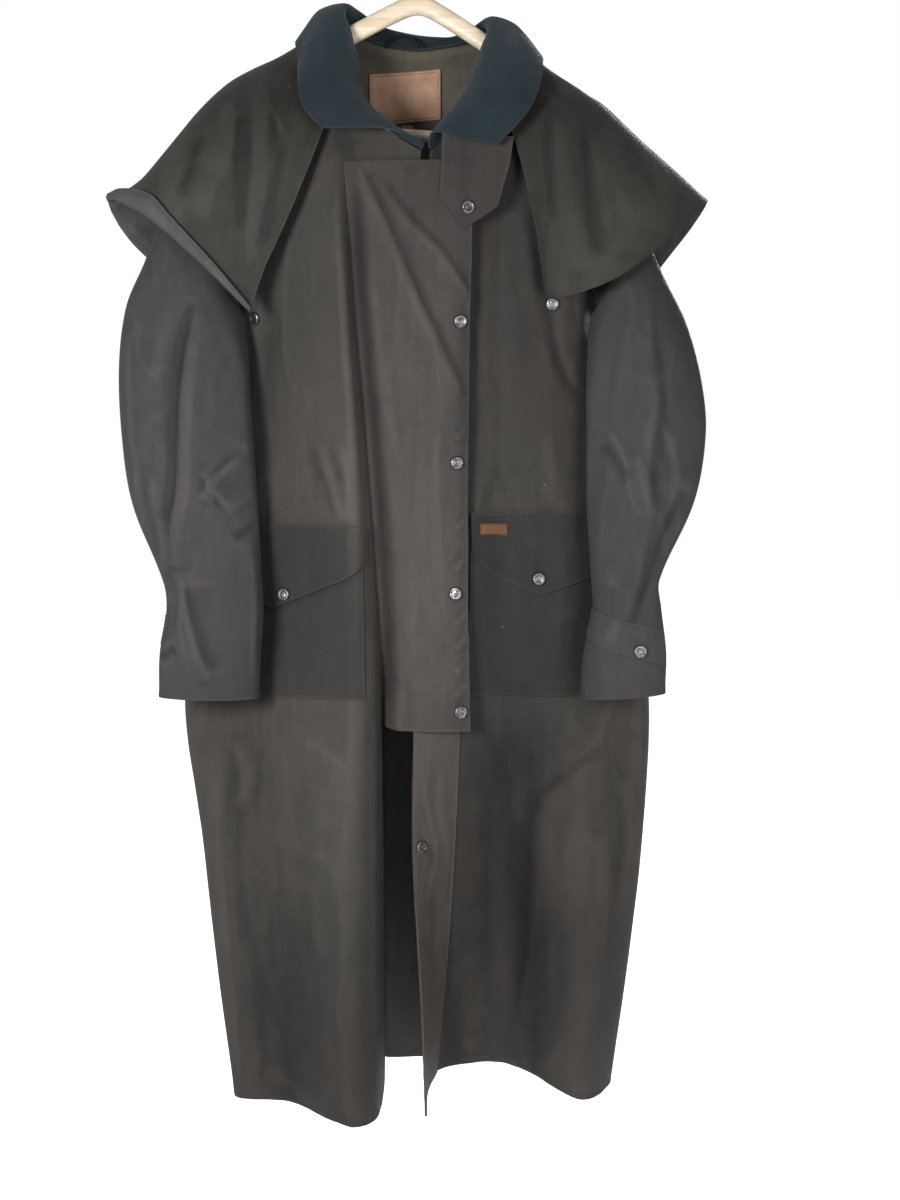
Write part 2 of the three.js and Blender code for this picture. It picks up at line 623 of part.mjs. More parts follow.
// Moves a grid of points off the cloths it lies on, at its points and at places inside its facets.
const INSIDE = [0.2, 0.5, 0.8];
function standOff(grid, hosts, clear, firstRowExact = false) {
  const places = hosts.flatMap(halfSteps);
  const points = grid.map((line) => line.map((p) => [...p]));
  const shift = (p, { lack, n }) => {
    p[0] += n.x * lack;
    p[1] += n.y * lack;
    p[2] += n.z * lack;
  };
  for (let pass = 0; pass < 4; pass++) {
    points.forEach((line, i) =>
      line.forEach((p) => {
        const found = lackOf(p, places, clear);
        if (found && (found.lack > 0 || (firstRowExact && i === 0 && pass === 0))) shift(p, found);
      }),
    );
    for (let i = 0; i < points.length - 1; i++)
      for (let j = 0; j < points[0].length - 1; j++) {
        const corners = [points[i][j], points[i][j + 1], points[i + 1][j], points[i + 1][j + 1]];
        for (const s of INSIDE)
          for (const t of INSIDE) {
            const weights = [(1 - s) * (1 - t), (1 - s) * t, s * (1 - t), s * t];
            const inside = [0, 1, 2].map((k) => corners.reduce((sum, c, m) => sum + c[k] * weights[m], 0));
            const found = lackOf(inside, places, clear);
            if (!found || found.lack <= 0) continue;
            const most = Math.max(...weights);
            corners.forEach((c, m) => shift(c, { lack: (found.lack * weights[m]) / most, n: found.n }));
          }
      }
  }
  return points;
}

// Cape. Each rib runs from the collar seam down to the hem, through three places between.
const RIGHT_CAPE = [
  { rib: "front", neck: [-99, -52, -230], upper: [-114, -80, -292], lower: [-152, -90, -385], flare: [-176, -93, -436], hem: [-194, -95, -486] },
  { rib: "breast", neck: [-101, -32, -190], upper: [-148, -76, -268], lower: [-206, -92, -352], flare: [-230, -97, -398], hem: [-247, -98, -434] },
  { rib: "arm", neck: [-102, -12, -164], upper: [-194, -54, -238], lower: [-262, -76, -312], flare: [-293, -80, -347], hem: [-316, -74, -375] },
  { rib: "shoulder", neck: [-103, 0, -152], upper: [-228, 0, -209], lower: [-290, -3, -273], flare: [-334, -3, -323], hem: [-375, -3, -347] },
  { rib: "backArm", neck: [-102, 10, -158], upper: [-190, 52, -238], lower: [-256, 72, -316], flare: [-306, 62, -362], hem: [-345, 40, -402] },
  { rib: "blade", neck: [-68, 38, -162], upper: [-150, 66, -252], lower: [-200, 80, -332], flare: [-225, 88, -412], hem: [-240, 92, -478] },
];
const CAPE_MIDDLE = { rib: "middle", neck: [0, 62, -170], upper: [0, 74, -262], lower: [0, 82, -350], flare: [0, 87, -430], hem: [0, 90, -505] };
const LEFT_CAPE = [
  { rib: "blade", neck: [68, 38, -166], upper: [150, 66, -258], lower: [200, 80, -336], flare: [223, 88, -414], hem: [236, 92, -480] },
  { rib: "backArm", neck: [102, 10, -170], upper: [184, 50, -254], lower: [240, 70, -326], flare: [276, 64, -366], hem: [315, 40, -398] },
  { rib: "shoulder", neck: [103, 0, -166], upper: [217, 0, -234], lower: [265, 0, -275], flare: [310, -2, -314], hem: [347, -4, -348] },
  { rib: "arm", neck: [102, -12, -176], upper: [184, -52, -254], lower: [238, -76, -324], flare: [275, -80, -359], hem: [311, -52, -383] },
  { rib: "breast", neck: [101, -30, -200], upper: [170, -72, -272], lower: [196, -91, -352], flare: [216, -98, -405], hem: [230, -99, -447] },
  { rib: "fold", neck: [99, -44, -224], upper: [147, -74, -278], lower: [155, -91, -362], flare: [159, -98, -422], hem: [165, -100, -470] },
  { rib: "underturn", neck: [94, -54, -244], upper: [112, -76, -292], lower: [131, -82, -364], flare: [142, -85, -420], hem: [147, -86, -462] },
];
const CAPE_ROWS = ["neck", "upper", "lower", "flare", "hem"].map((name) =>
  [...RIGHT_CAPE, CAPE_MIDDLE, ...LEFT_CAPE].map((r) => r[name]),
);
const CAPE_DOWN = [0, 0.25, 0.5, 0.75, 1, 1.5, 2, 2.5, 3, 3.5, 4];
const CAPE_SEAMS = [3, 9]; // ribs where the fronts meet the back, along the shoulders
const CAPE_ACROSS = [...range(0, 4, 1 / 3), 4.5, 5, 5.5, 6, 6.5, 7, 7.5, 8, ...range(8 + 1 / 3, 12, 1 / 3), 12.5, 13];
const CAPE_CLEAR = CLOTH + SEAM_GAP + 0.8;
const capeSurface = loft(CAPE_ROWS);
const capeGrid = standOff(
  CAPE_DOWN.map((d) => CAPE_ACROSS.map((a) => capeSurface(a, d))),
  [rightFront, leftFront, yoke, rightBack, leftBack, ...Object.values(rightSleeve), ...Object.values(leftSleeve)],
  CAPE_CLEAR,
  true,
);
const cape = new Cloth(capeGrid, [0, 0, -500]);

// A piece of a cloth between two of its columns, drawn back a little where it is seamed.
function cutPiece(whole, from, to, seams) {
  const piece = Object.create(Cloth.prototype);
  piece.normals = whole.normals.map((line) => line.slice(from, to + 1));
  piece.points = whole.points.map((line) => {
    const cut = line.slice(from, to + 1).map((p) => [...p]);
    const last = cut.length - 1;
    for (const [end, next, seamed] of [
      [0, 1, seams[0]],
      [last, last - 1, seams[1]],
    ]) {
      if (!seamed) continue;
      const step = SEAM_GAP / distance(cut[end], cut[next]);
      cut[end] = cut[end].map((v, i) => v + (cut[next][i] - v) * step);
    }
    return cut;
  });
  piece.rows = piece.points.length;
  piece.columns = piece.points[0].length;
  return piece;
}
const [rightSeam, leftSeam] = CAPE_SEAMS.map((rib) => CAPE_ACROSS.indexOf(rib));
const rightCape = cutPiece(cape, 0, rightSeam, [false, true]);
const backCape = cutPiece(cape, rightSeam, leftSeam, [true, true]);
const leftCape = cutPiece(cape, leftSeam, cape.columns - 1, [true, false]);

// The right cape's hem is turned up on its outside, from a point at the front to its full width at the shoulder.
const TURN_UP = { widths: [4, 7, 10, 13, 16, 20, 25, 22, 12, 4], rise: 4 };
function turnedUp(piece) {
  const last = piece.rows - 1;
  const fold = [];
  const edge = [];
  piece.points[last].forEach((hem, j) => {
    const n = piece.normals[last][j];
    const above = piece.points[last - 1][j];
    const length = distance(above, hem);
    const up = above.map((v, i) => (v - hem[i]) / length);
    const width = TURN_UP.widths[Math.min(j, TURN_UP.widths.length - 1)];
    const out = [n.x, n.y, n.z];
    const at = (rise, climb) => hem.map((v, i) => v + out[i] * rise + up[i] * climb);
    fold.push(at(TURN_UP.rise, -1));
    edge.push(at(TURN_UP.rise * 2, width));
  });
  return new Cloth([...piece.points, fold, edge], [0, 0, -500]);
}
const rightCapeTurned = turnedUp(rightCape);
add("cape_right", rightCapeTurned.solid(), "waxed");
add("cape_back", backCape.solid(), "waxed");
add("cape_left", leftCape.solid(), "waxed");

// Collar. Its seam edge stands on the neckline of the fronts and the yoke.
// Each row of the table is a place round the neck, with the roll line, the middle of the fall and its edge.
const COLLAR = [
  { place: 0, roll: [-28, -82, -280], fall: [-68, -95, -279], edge: [-107, -98, -281] },
  { place: 0.1, roll: [-66, -74, -246], fall: [-100, -90, -252], edge: [-131, -92, -256] },
  { place: 0.21, roll: [-82, -54, -200], fall: [-110, -72, -208], edge: [-138, -70, -222] },
  { place: 0.3, roll: [-88, -26, -150], fall: [-118, -38, -156], edge: [-140, -36, -190] },
  { place: 0.355, roll: [-86, 2, -117], fall: [-119, 3, -125], edge: [-141, 4, -160] },
  { place: 0.43, roll: [-50, 36, -132], fall: [-76, 60, -142], edge: [-98, 76, -180] },
  { place: 0.5, roll: [3, 48, -142], fall: [3, 72, -152], edge: [3, 88, -196] },
  { place: 0.57, roll: [56, 36, -144], fall: [78, 60, -152], edge: [100, 76, -190] },
  { place: 0.645, roll: [84, 2, -131], fall: [115, 3, -142], edge: [142, 4, -178] },
  { place: 0.7, roll: [80, -26, -162], fall: [112, -40, -170], edge: [145, -40, -196] },
  { place: 0.79, roll: [66, -54, -208], fall: [102, -74, -216], edge: [140, -72, -228] },
  { place: 0.9, roll: [44, -76, -248], fall: [88, -94, -258], edge: [124, -92, -264] },
  { place: 1, roll: [18, -85, -283], fall: [54, -98, -292], edge: [90, -100, -300] },
];
const COLLAR_STAND = 8; // how far the stand rises before it begins to roll
const COLLAR_UPRIGHT = 0.8; // how much steeper than the body the stand leaves the neckline
const neckCloths = [
  { cloth: rightFront, from: FRONT_ACROSS.length - 1, to: FRONT_ACROSS.indexOf(NECK_RIB) + 1 },
  { cloth: yoke, from: YOKE_ACROSS.indexOf(2), to: YOKE_ACROSS.indexOf(6) },
  { cloth: leftFront, from: FRONT_ACROSS.indexOf(NECK_RIB) + 1, to: FRONT_ACROSS.length - 1 },
];
// Each place on the neckline, with the cloth's normal there and the way up and off the cloth.
const neckline = neckCloths.flatMap(({ cloth, from, to }) => {
  const count = Math.abs(to - from) + 1;
  return Array.from({ length: count }, (_, k) => {
    const j = from < to ? from + k : from - k;
    return { point: cloth.points[0][j], normal: cloth.normals[0][j] };
  });
});
neckline.forEach((place, k) => {
  const before = neckline[Math.max(0, k - 1)].point;
  const after = neckline[Math.min(neckline.length - 1, k + 1)].point;
  const along = new THREE.Vector3(...after).sub(new THREE.Vector3(...before)).normalize();
  place.off = place.normal.clone().cross(along);
  if (place.off.x * -place.point[0] + place.off.z * 40 < 0) place.off.negate();
  place.off.z += COLLAR_UPRIGHT;
  place.off.normalize();
});
const neckPlaces = (() => {
  const lengths = spacing(neckline.map((n) => [n.point]));
  return lengths.map((v) => v / lengths[lengths.length - 1]);
})();
const collarTable = COLLAR.map((r) => [r.roll, r.fall, r.edge]);
const collarPlaces = COLLAR.map((r) => r.place);
function collarStations(place) {
  const i = Math.min(collarPlaces.findLastIndex((v) => v <= place), collarPlaces.length - 2);
  const index = i + (place - collarPlaces[i]) / (collarPlaces[i + 1] - collarPlaces[i]);
  return [0, 1, 2].map((k) => alongCurve(collarTable.map((r) => r[k]), collarPlaces, index));
}
const COLLAR_DOWN = [0, 1, 1.5, 1.8, 2.1, 2.4, 2.7, 3, 3.5, 4];
const COLLAR_SEAM_LIFT = SEAM_GAP + 1;
const collarColumns = neckline.map(({ point, off, normal }, j) => {
  const moved = (away, out) => point.map((v, i) => v + off.getComponent(i) * away + normal.getComponent(i) * out);
  const seam = moved(COLLAR_SEAM_LIFT, 0);
  const stand = moved(COLLAR_STAND, COLLAR_STAND * 0.35);
  const stations = [seam, stand, ...collarStations(neckPlaces[j])];
  const knots = spacing(stations.map((s) => [s]));
  return COLLAR_DOWN.map((d) => alongCurve(stations, knots, d));
});
const FALL_FROM = COLLAR_DOWN.indexOf(2.4);
const collarGrid = COLLAR_DOWN.map((_, i) => collarColumns.map((c) => c[i]));
const underLift = COLLAR_CLOTH / 2 + SEAM_GAP + CLOTH / 2;
const collarClear = underLift + CLOTH + SEAM_GAP + 1.2;
const laidFall = standOff(
  collarGrid.slice(FALL_FROM),
  [rightCapeTurned, backCape, leftCape, rightFront, leftFront],
  collarClear,
);
const collar = new Cloth([...collarGrid.slice(0, FALL_FROM), ...laidFall], [0, 0, -260]);
add("collar_top", collar.solid(COLLAR_CLOTH), "cord");

// Under collar: the waxed layer below the fall.
const underGrid = range(FALL_FROM + 1, COLLAR_DOWN.length - 1, 1).map((i) =>
  neckline.map((_, j) => collar.lifted(i, j, -underLift)),
);
add("collar_under", new Cloth(underGrid, [0, 0, -260]).solid(), "waxed");

// Storm flap: sewn to the wearer's right front, and lapped over the left one.
const STORM_FLAP = [
  { z: -314, seam: [-86, -79], inner: [-48, -84], outer: [-10, -87], edge: [24, -88] },
  { z: -332, seam: [-85, -79], inner: [-42, -85], outer: [6, -89], edge: [44, -91] },
  { z: -350, seam: [-84, -80], inner: [-38, -86], outer: [14, -90], edge: [60, -92] },
  { z: -473, seam: [-77, -82], inner: [-34, -89], outer: [14, -93], edge: [60, -93] },
  { z: -633, seam: [-63, -80], inner: [-24, -89], outer: [18, -93], edge: [58, -92] },
  { z: -823, seam: [-51, -80], inner: [-16, -91], outer: [20, -95], edge: [58, -93] },
  { z: -977, seam: [-45, -81], inner: [-10, -94], outer: [26, -99], edge: [61, -96] },
];
const stormRows = STORM_FLAP.map((r) => ["seam", "inner", "outer", "edge"].map((k) => [...r[k], r.z]));
const STORM_DOWN = [0, 1, 2, 2.5, 3, 3.5, 4, 4.5, 5, 5.5, 6];
const STORM_ACROSS = range(0, 3, 0.5);
// A strip laid on a cloth between two of its columns and two of its rows.
function overlay(cloth, [rowFrom, rowTo], [columnFrom, columnTo], lift) {
  const grid = range(rowFrom, rowTo, 1).map((i) =>
    range(columnFrom, columnTo, 1).map((j) => cloth.lifted(i, j, lift)),
  );
  return new Cloth(grid, SPINE);
}
// The strip that carries the last snap, along the edge of the wearer's left front.
const flyColumns = [FRONT_ACROSS.indexOf(4), FRONT_ACROSS.length - 1];
const FLY_LIFT = CLOTH + SEAM_GAP;
const flyStrip = overlay(leftFront, [FRONT_DOWN.indexOf(2), leftFront.rows - 1], flyColumns, FLY_LIFT);
add("fly_strip", flyStrip.solid(), "waxed");

// The storm flap's seam lies on the right front, and its free side on the strip.
const LAID = CLOTH + SEAM_GAP + 0.25;
const stormSurface = loft(stormRows);
const stormGrid = STORM_DOWN.map((d) =>
  STORM_ACROSS.map((a) => {
    const p = stormSurface(a, d);
    return a === 0 ? rightFront.lifted(...rightFront.find(p[0], p[2]), LAID) : p;
  }),
);
const stormFlap = new Cloth(standOff(stormGrid, [rightFront, leftFront, flyStrip], LAID), SPINE);
add("storm_flap", stormFlap.solid(), "waxed");

// The fractional row at which a column of a cloth passes a height.
function rowAt(cloth, column, z) {
  let [low, high] = [0, cloth.rows - 1];
  for (let k = 0; k < 30; k++) {
    const middle = (low + high) / 2;
    if (cloth.at(middle, column).point[2] > z) low = middle;
    else high = middle;
  }
  return low;
}

// A piece laid on a cloth along some of its columns, between a top and a bottom height for each.
function laidOn(cloth, columns, topZ, bottomZ, rows, lift) {
  const ends = columns.map((c, k) => [rowAt(cloth, c, topZ(k)), rowAt(cloth, c, bottomZ(k))]);
  const grid = range(0, rows, 1).map((i) =>
    columns.map((c, k) => cloth.lifted(ends[k][0] + ((ends[k][1] - ends[k][0]) * i) / rows, c, lift)),
  );
  return new Cloth(grid, SPINE);
}

// A patch on a cloth: its top and bottom edges are drawn as they are seen from the front.
function patch(cloth, top, bottom, { rows = 4, lift }) {
  const grid = range(0, rows, 1).map((k) =>
    top.map((t, j) => {
      const b = bottom[j];
      const share = k / rows;
      const [row, column] = cloth.find(t[0] + (b[0] - t[0]) * share, t[1] + (b[1] - t[1]) * share);
      return cloth.lifted(row, column, lift);
    }),
  );
  return new Cloth(grid, lift > 0 ? SPINE : [0, 400, -200]);
}

// Pockets with pointed flaps, on both fronts below the waist seam. Their edges follow the fronts' columns.
const POCKET = { topZ: -745, bottomZ: -938, flapTopZ: -733, corner: 52, point: 100, lift: 2.8, flapLift: 5 };
const ribColumn = (rib) => {
  const i = FRONT_ACROSS.findLastIndex((r) => r <= rib);
  return i === FRONT_ACROSS.length - 1 ? i : i + (rib - FRONT_ACROSS[i]) / (FRONT_ACROSS[i + 1] - FRONT_ACROSS[i]);
};
const columnsBetween = (fromRib, toRib) => {
  const [from, to] = [ribColumn(fromRib), ribColumn(toRib)];
  const inside = range(Math.floor(from) + 1, Math.ceil(to) - 1, 1);
  return [from, ...inside, to];
};
const POCKETS = {
  right: { front: rightFront, ribs: [0.45, 3.4], pointRib: 2, drop: 0 },
  left: { front: leftFront, ribs: [0.45, 3.88], pointRib: 2.333, drop: 14 },
};
for (const [side, p] of Object.entries(POCKETS)) {
  const columns = columnsBetween(...p.ribs);
  const top = POCKET.flapTopZ + p.drop;
  const body = laidOn(p.front, columns, () => POCKET.topZ + p.drop, () => POCKET.bottomZ, 5, POCKET.lift);
  add(`pocket_${side}`, body.solid(), "waxed");
  const pointColumn = ribColumn(p.pointRib);
  const pointed = (k) => {
    const c = columns[k];
    const end = c < pointColumn ? columns[0] : columns[columns.length - 1];
    const share = 1 - Math.abs((c - pointColumn) / (end - pointColumn));
    return top - POCKET.corner - (POCKET.point - POCKET.corner) * share;
  };
  p.flap = laidOn(p.front, columns, () => top, pointed, 3, POCKET.flapLift);
  add(`pocket_flap_${side}`, p.flap.solid(), "waxed");
}

// Throat tab, from under the collar down over the storm flap.
const THROAT_TAB = [
  [[28, -84, -284], [48, -85, -284], [68, -85, -285], [88, -85, -286], [110, -84, -288]],
  [[27, -90, -322], [46, -91, -322], [65, -91, -322], [84, -91, -321], [105, -89, -320]],
  [[26, -92, -342], [42, -93, -348], [59, -94, -352], [77, -94, -349], [98, -92, -344]],
  [[26, -93, -357], [40, -94, -375], [55, -95, -391], [74, -95, -379], [92, -94, -367]],
];
const throatTab = new Cloth(standOff(THROAT_TAB, [stormFlap], LAID), SPINE);
add("throat_tab", throatTab.solid(), "waxed");

// Cuff tabs: the left one goes round the front of its sleeve and the right one sits on the back of its own.
// Columns and rows are those of the sleeve halves.
const CUFF_TABS = {
  right: {
    sleeve: rightSleeve.back,
    columns: [4.4, 5, 6, 7, 7.6],
    top: [15.1, 15.1],
    bottom: [15.8, 15.8],
    inside: [-243, -108, -880],
  },
  left: {
    sleeve: leftSleeve.front,
    columns: [1.4, 2, 3, 4, 5, 6, 7, 7.6],
    top: [15.5, 14.9],
    bottom: [16.3, 15.55],
    inside: [0, 0, -860],
  },
};
const CUFF_LIFT = 2.3;
for (const [side, c] of Object.entries(CUFF_TABS)) {
  const last = c.columns.length - 1;
  const between = ([a, b], k) => a + ((b - a) * k) / last;
  const grid = [0, 0.5, 1].map((share) =>
    c.columns.map((column, k) => {
      const [from, to] = [between(c.top, k), between(c.bottom, k)];
      return c.sleeve.lifted(from + (to - from) * share, column, CUFF_LIFT);
    }),
  );
  c.tab = new Cloth(grid, c.inside);
  add(`cuff_tab_${side}`, c.tab.solid(), "waxed");
}

// Blank leather labels: one inside the yoke with its size tab, one on the left pocket's flap.
const LABEL_LIFT = -(CLOTH / 2 + SEAM_GAP + LEATHER / 2 + 1);
const neckLabel = patch(
  yoke,
  [[-63, -187], [-45, -185], [-20, -183], [4, -181], [26, -179]],
  [[-62, -226], [-44, -247], [-20, -244], [4, -242], [26, -240]],
  { rows: 3, lift: LABEL_LIFT },
);
add("neck_label", neckLabel.solid(LEATHER), "leather");
const sizeTab = patch(yoke, [[-23, -246], [-9, -246]], [[-23, -258], [-9, -258]], { rows: 2, lift: LABEL_LIFT + 0.6 });
add("size_tab", sizeTab.solid(1), "leather");
const pocketTag = patch(
  POCKETS.left.flap,
  [[71, -731], [88, -731], [105, -732]],
  [[71, -745], [88, -745], [105, -746]],
  { rows: 1, lift: CLOTH / 2 + SEAM_GAP + 0.5 + 0.4 },
);
add("pocket_label", pocketTag.solid(1), "leather");

// A round bar along a curve, closed at both ends.
function roundBar(centres, radius, sides) {
  const position = [];
  const up = new THREE.Vector3(0, 1, 0);
  const last = centres.length - 1;
  centres.forEach((c, i) => {
    const along = new THREE.Vector3(...centres[Math.min(last, i + 1)])
      .sub(new THREE.Vector3(...centres[Math.max(0, i - 1)]))
      .normalize();
    const side = up.clone().cross(along).normalize();
    const rise = along.clone().cross(side);
    for (let k = 0; k < sides; k++) {
      const turn = (2 * Math.PI * k) / sides;
      const [cs, sn] = [Math.cos(turn) * radius, Math.sin(turn) * radius];
      position.push(
        c[0] + side.x * cs + rise.x * sn,
        c[1] + side.y * cs + rise.y * sn,
        c[2] + side.z * cs + rise.z * sn,
      );
    }
  });
  const index = [];
  for (let i = 0; i < last; i++)
    for (let k = 0; k < sides; k++) {
      const n = (k + 1) % sides;
      const [a, b] = [i * sides, (i + 1) * sides];
      index.push(a + k, a + n, b + n, a + k, b + n, b + k);
    }
  for (let k = 1; k < sides - 1; k++) {
    index.push(0, k + 1, k);
    index.push(last * sides, last * sides + k, last * sides + k + 1);
  }
  return facingOut(position, index);
}

// Hanging loop, standing inside the back of the collar.
const LOOP = { x: -21, y: 43, foot: -157, half: 20, tall: 14, radius: 1.6 };
const loopPath = range(0, Math.PI, Math.PI / 8).map((turn) => [
  LOOP.x - LOOP.half * Math.cos(turn),
  LOOP.y,
  LOOP.foot + LOOP.tall * Math.sin(turn),
]);
add("hanging_loop", roundBar(loopPath, LOOP.radius, 6), "waxed");

// Snap fasteners
const SNAP_PROFILE = [[0, 0], [0.82, 0], [1, 0.3], [0.94, 0.72], [0.6, 1], [0, 0.88]];
function addSnap(name, cloth, x, z, lift = SNAP_LIFT) {
  const [row, column] = cloth.find(x, z);
  const { point, normal } = cloth.at(row, column);
  const profile = SNAP_PROFILE.map(([r, h]) => new THREE.Vector2(r * SNAP_RADIUS, h * SNAP_TALL));
  const geometry = mergeVertices(new THREE.LatheGeometry(profile, 12).deleteAttribute("uv").deleteAttribute("normal"), 1e-4);
  const snap = add(name, geometry, "metal");
  snap.position.set(...point).addScaledVector(normal, CLOTH / 2 + lift);
  snap.quaternion.setFromUnitVectors(new THREE.Vector3(0, 1, 0), normal);
}
addSnap("snap_flap_1", stormFlap, 49, -497);
addSnap("snap_flap_2", stormFlap, 45, -660);
addSnap("snap_flap_3", stormFlap, 44, -813);
addSnap("snap_flap_4", stormFlap, 50, -954);
addSnap("snap_fly", flyStrip, 2, -1118, 1.4);
addSnap("snap_pocket_right", POCKETS.right.flap, -160, -816);
addSnap("snap_pocket_left", POCKETS.left.flap, 143, -798);
addSnap("snap_cuff_left", CUFF_TABS.left.tab, 256, -876);
addSnap("snap_cuff_right", CUFF_TABS.right.tab, -282, -855);
addSnap("snap_throat", throatTab, 58, -368);
addSnap("snap_cape_left", leftFront, 158, -474, 1);
addSnap("snap_cape_right", rightFront, -194, -489, 1);
addSnap("snap_neck", rightFront, -20, -322, 1);

// Wooden hanger: two sloping arms in one piece, a trouser bar between two end posts, and a wire hook.
const armPath = [...range(-ARM_REACH, -20, 20), -10, 0, 10, ...range(20, ARM_REACH, 20)];
const ARM_SECTION = 12; // points round the arm's oval section
const armRing = (x, scale) =>
  Array.from({ length: ARM_SECTION }, (_, k) => {
    const turn = (2 * Math.PI * k) / ARM_SECTION;
    const half = ARM_TALL / 2;
    return [x, (ARM_THICK / 2) * scale * Math.cos(turn), armTop(x) - half + half * scale * Math.sin(turn)];
  });
function tube(rings) {
  const sides = rings[0].length;
  const index = [];
  for (let i = 0; i < rings.length - 1; i++)
    for (let k = 0; k < sides; k++) {
      const n = (k + 1) % sides;
      const [a, b] = [i * sides, (i + 1) * sides];
      index.push(a + k, a + n, b + n, a + k, b + n, b + k);
    }
  const end = (rings.length - 1) * sides;
  for (let k = 1; k < sides - 1; k++) index.push(0, k + 1, k, end, end + k, end + k + 1);
  return facingOut(rings.flat(2), index);
}
add(
  "hanger_arms",
  tube([armRing(armPath[0] - 5, 0.6), ...armPath.map((x) => armRing(x, 1)), armRing(armPath[armPath.length - 1] + 5, 0.6)]),
  "wood",
);
const barZ = (x) => BAR.z - HANGER_LEAN * x;
add("hanger_bar", roundBar([-BAR.reach, BAR.reach].map((x) => [x, 0, barZ(x)]), BAR.radius, 16), "wood");
const POST = { wide: 12, deep: 13 };
for (const [side, sign] of [["right", -1], ["left", 1]]) {
  const near = sign * (BAR.reach + SEAM_GAP + BAR.radius * HANGER_LEAN);
  const far = near + sign * POST.wide;
  const foot = barZ(near) - BAR.radius - 2;
  const head = (x) => armTop(x) - ARM_TALL - SEAM_GAP;
  const corner = (x) => [
    [x, -POST.deep / 2, foot],
    [x, POST.deep / 2, foot],
    [x, POST.deep / 2, head(x)],
    [x, -POST.deep / 2, head(x)],
  ];
  add(`hanger_end_${side}`, tube([corner(near), corner(far)]), "wood");
}
const bowRadius = HOOK.bow + HOOK.wire / 2;
const hookPath = range(HOOK.tipTurn, Math.PI * 1.15, 0.24).map((turn) => [
  bowRadius * Math.cos(turn),
  0,
  -HOOK.bow + bowRadius * Math.sin(turn),
]);
const stemFoot = armTop(0) + SEAM_GAP;
const [lastX, , lastZ] = hookPath[hookPath.length - 1];
hookPath.push([lastX * 0.55, 0, lastZ - 12], [lastX * 0.12, 0, lastZ - 20], [0, 0, lastZ - 30], [0, 0, stemFoot]);
add("hanger_hook", roundBar(hookPath, HOOK.wire / 2, 8), "wire");

export default coat;
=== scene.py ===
"""A long waxed-cotton duster coat with a shoulder cape, hung on a wooden suit hanger.

All shapes are worked out in millimetres in the part's own frame, from the same tables as its
solids: +Z up, the coat's front towards -Y, the wearer's left at +X, the origin under the
hanger's hook. Meshes are made in metres.
"""

import math

import bpy
import numpy as np
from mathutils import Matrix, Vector, kdtree


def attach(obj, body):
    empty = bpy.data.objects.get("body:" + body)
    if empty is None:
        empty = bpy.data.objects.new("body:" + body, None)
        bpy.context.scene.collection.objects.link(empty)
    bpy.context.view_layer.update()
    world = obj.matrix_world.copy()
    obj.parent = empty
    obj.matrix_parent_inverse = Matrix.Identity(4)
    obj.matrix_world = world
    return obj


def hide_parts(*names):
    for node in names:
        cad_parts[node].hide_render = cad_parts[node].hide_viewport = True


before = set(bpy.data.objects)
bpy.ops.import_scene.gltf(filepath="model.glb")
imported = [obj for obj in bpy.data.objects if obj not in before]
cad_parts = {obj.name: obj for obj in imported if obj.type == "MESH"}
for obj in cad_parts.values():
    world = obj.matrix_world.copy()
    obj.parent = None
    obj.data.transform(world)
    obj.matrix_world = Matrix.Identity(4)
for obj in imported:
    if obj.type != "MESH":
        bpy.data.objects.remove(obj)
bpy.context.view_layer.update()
BODY = "root"
MM = 0.001

# Sizes shared with the part
CLOTH = 1.5
COLLAR_CLOTH = 2
LEATHER = 1.6
SEAM_GAP = 0.3
HEM_Z = -1440
UNDERARM_Z = -455
YOKE_SEAM_Z = -330
ARMHOLE_DEPTH = 46
NECK_X = 95
ARM_TOP_Z = -99
ARM_SLOPE = 0.583
ARM_ROUND = 12
HANGER_LEAN = 0.064
ARM_ROUNDING = 0.8
ARM_CLEAR = 0.6
SPINE = (0, 0, -700)

# Camera
CAMERA = dict(place=(0.037, -1.850, -0.636), tilt=6, lens=45, sensor=36)


def set_camera():
    data = bpy.data.cameras.new("camera")
    data.lens, data.sensor_width, data.sensor_fit = CAMERA["lens"], CAMERA["sensor"], "AUTO"
    data.clip_start, data.clip_end = 0.05, 60
    camera = bpy.data.objects.new("camera", data)
    camera.location = CAMERA["place"]
    camera.rotation_euler = (math.radians(90 - CAMERA["tilt"]), 0, 0)
    bpy.context.scene.collection.objects.link(camera)
    bpy.context.scene.camera = camera


set_camera()


# Curves and cloths
def curve_at(points, knots, places):
    """Points of a smooth curve, at fractional places along its table of points."""
    points, knots = np.asarray(points, float), np.asarray(knots, float)
    places = np.atleast_1d(np.asarray(places, float))
    i = np.clip(np.floor(places).astype(int), 0, len(points) - 2)
    a, b, c, d = np.maximum(i - 1, 0), i, i + 1, np.minimum(i + 2, len(points) - 1)
    flat = (-1,) + (1,) * (points.ndim - 1)
    s = (places - i).reshape(flat)
    wide = (knots[c] - knots[b]).reshape(flat)
    before = wide * (points[c] - points[a]) / (knots[c] - knots[a]).reshape(flat)
    after = wide * (points[d] - points[b]) / (knots[d] - knots[b]).reshape(flat)
    s2, s3 = s**2, s**3
    return (
        (2 * s3 - 3 * s2 + 1) * points[b]
        + (s3 - 2 * s2 + s) * before
        + (3 * s2 - 2 * s3) * points[c]
        + (s3 - s2) * after
    )


def spacing(rows):
    """Knots at the mean distance between neighbouring rows of points."""
    rows = np.asarray(rows, float)
    steps = np.linalg.norm(np.diff(rows, axis=0), axis=-1)
    return np.concatenate([[0], np.cumsum(steps.reshape(len(steps), -1).mean(axis=1))])


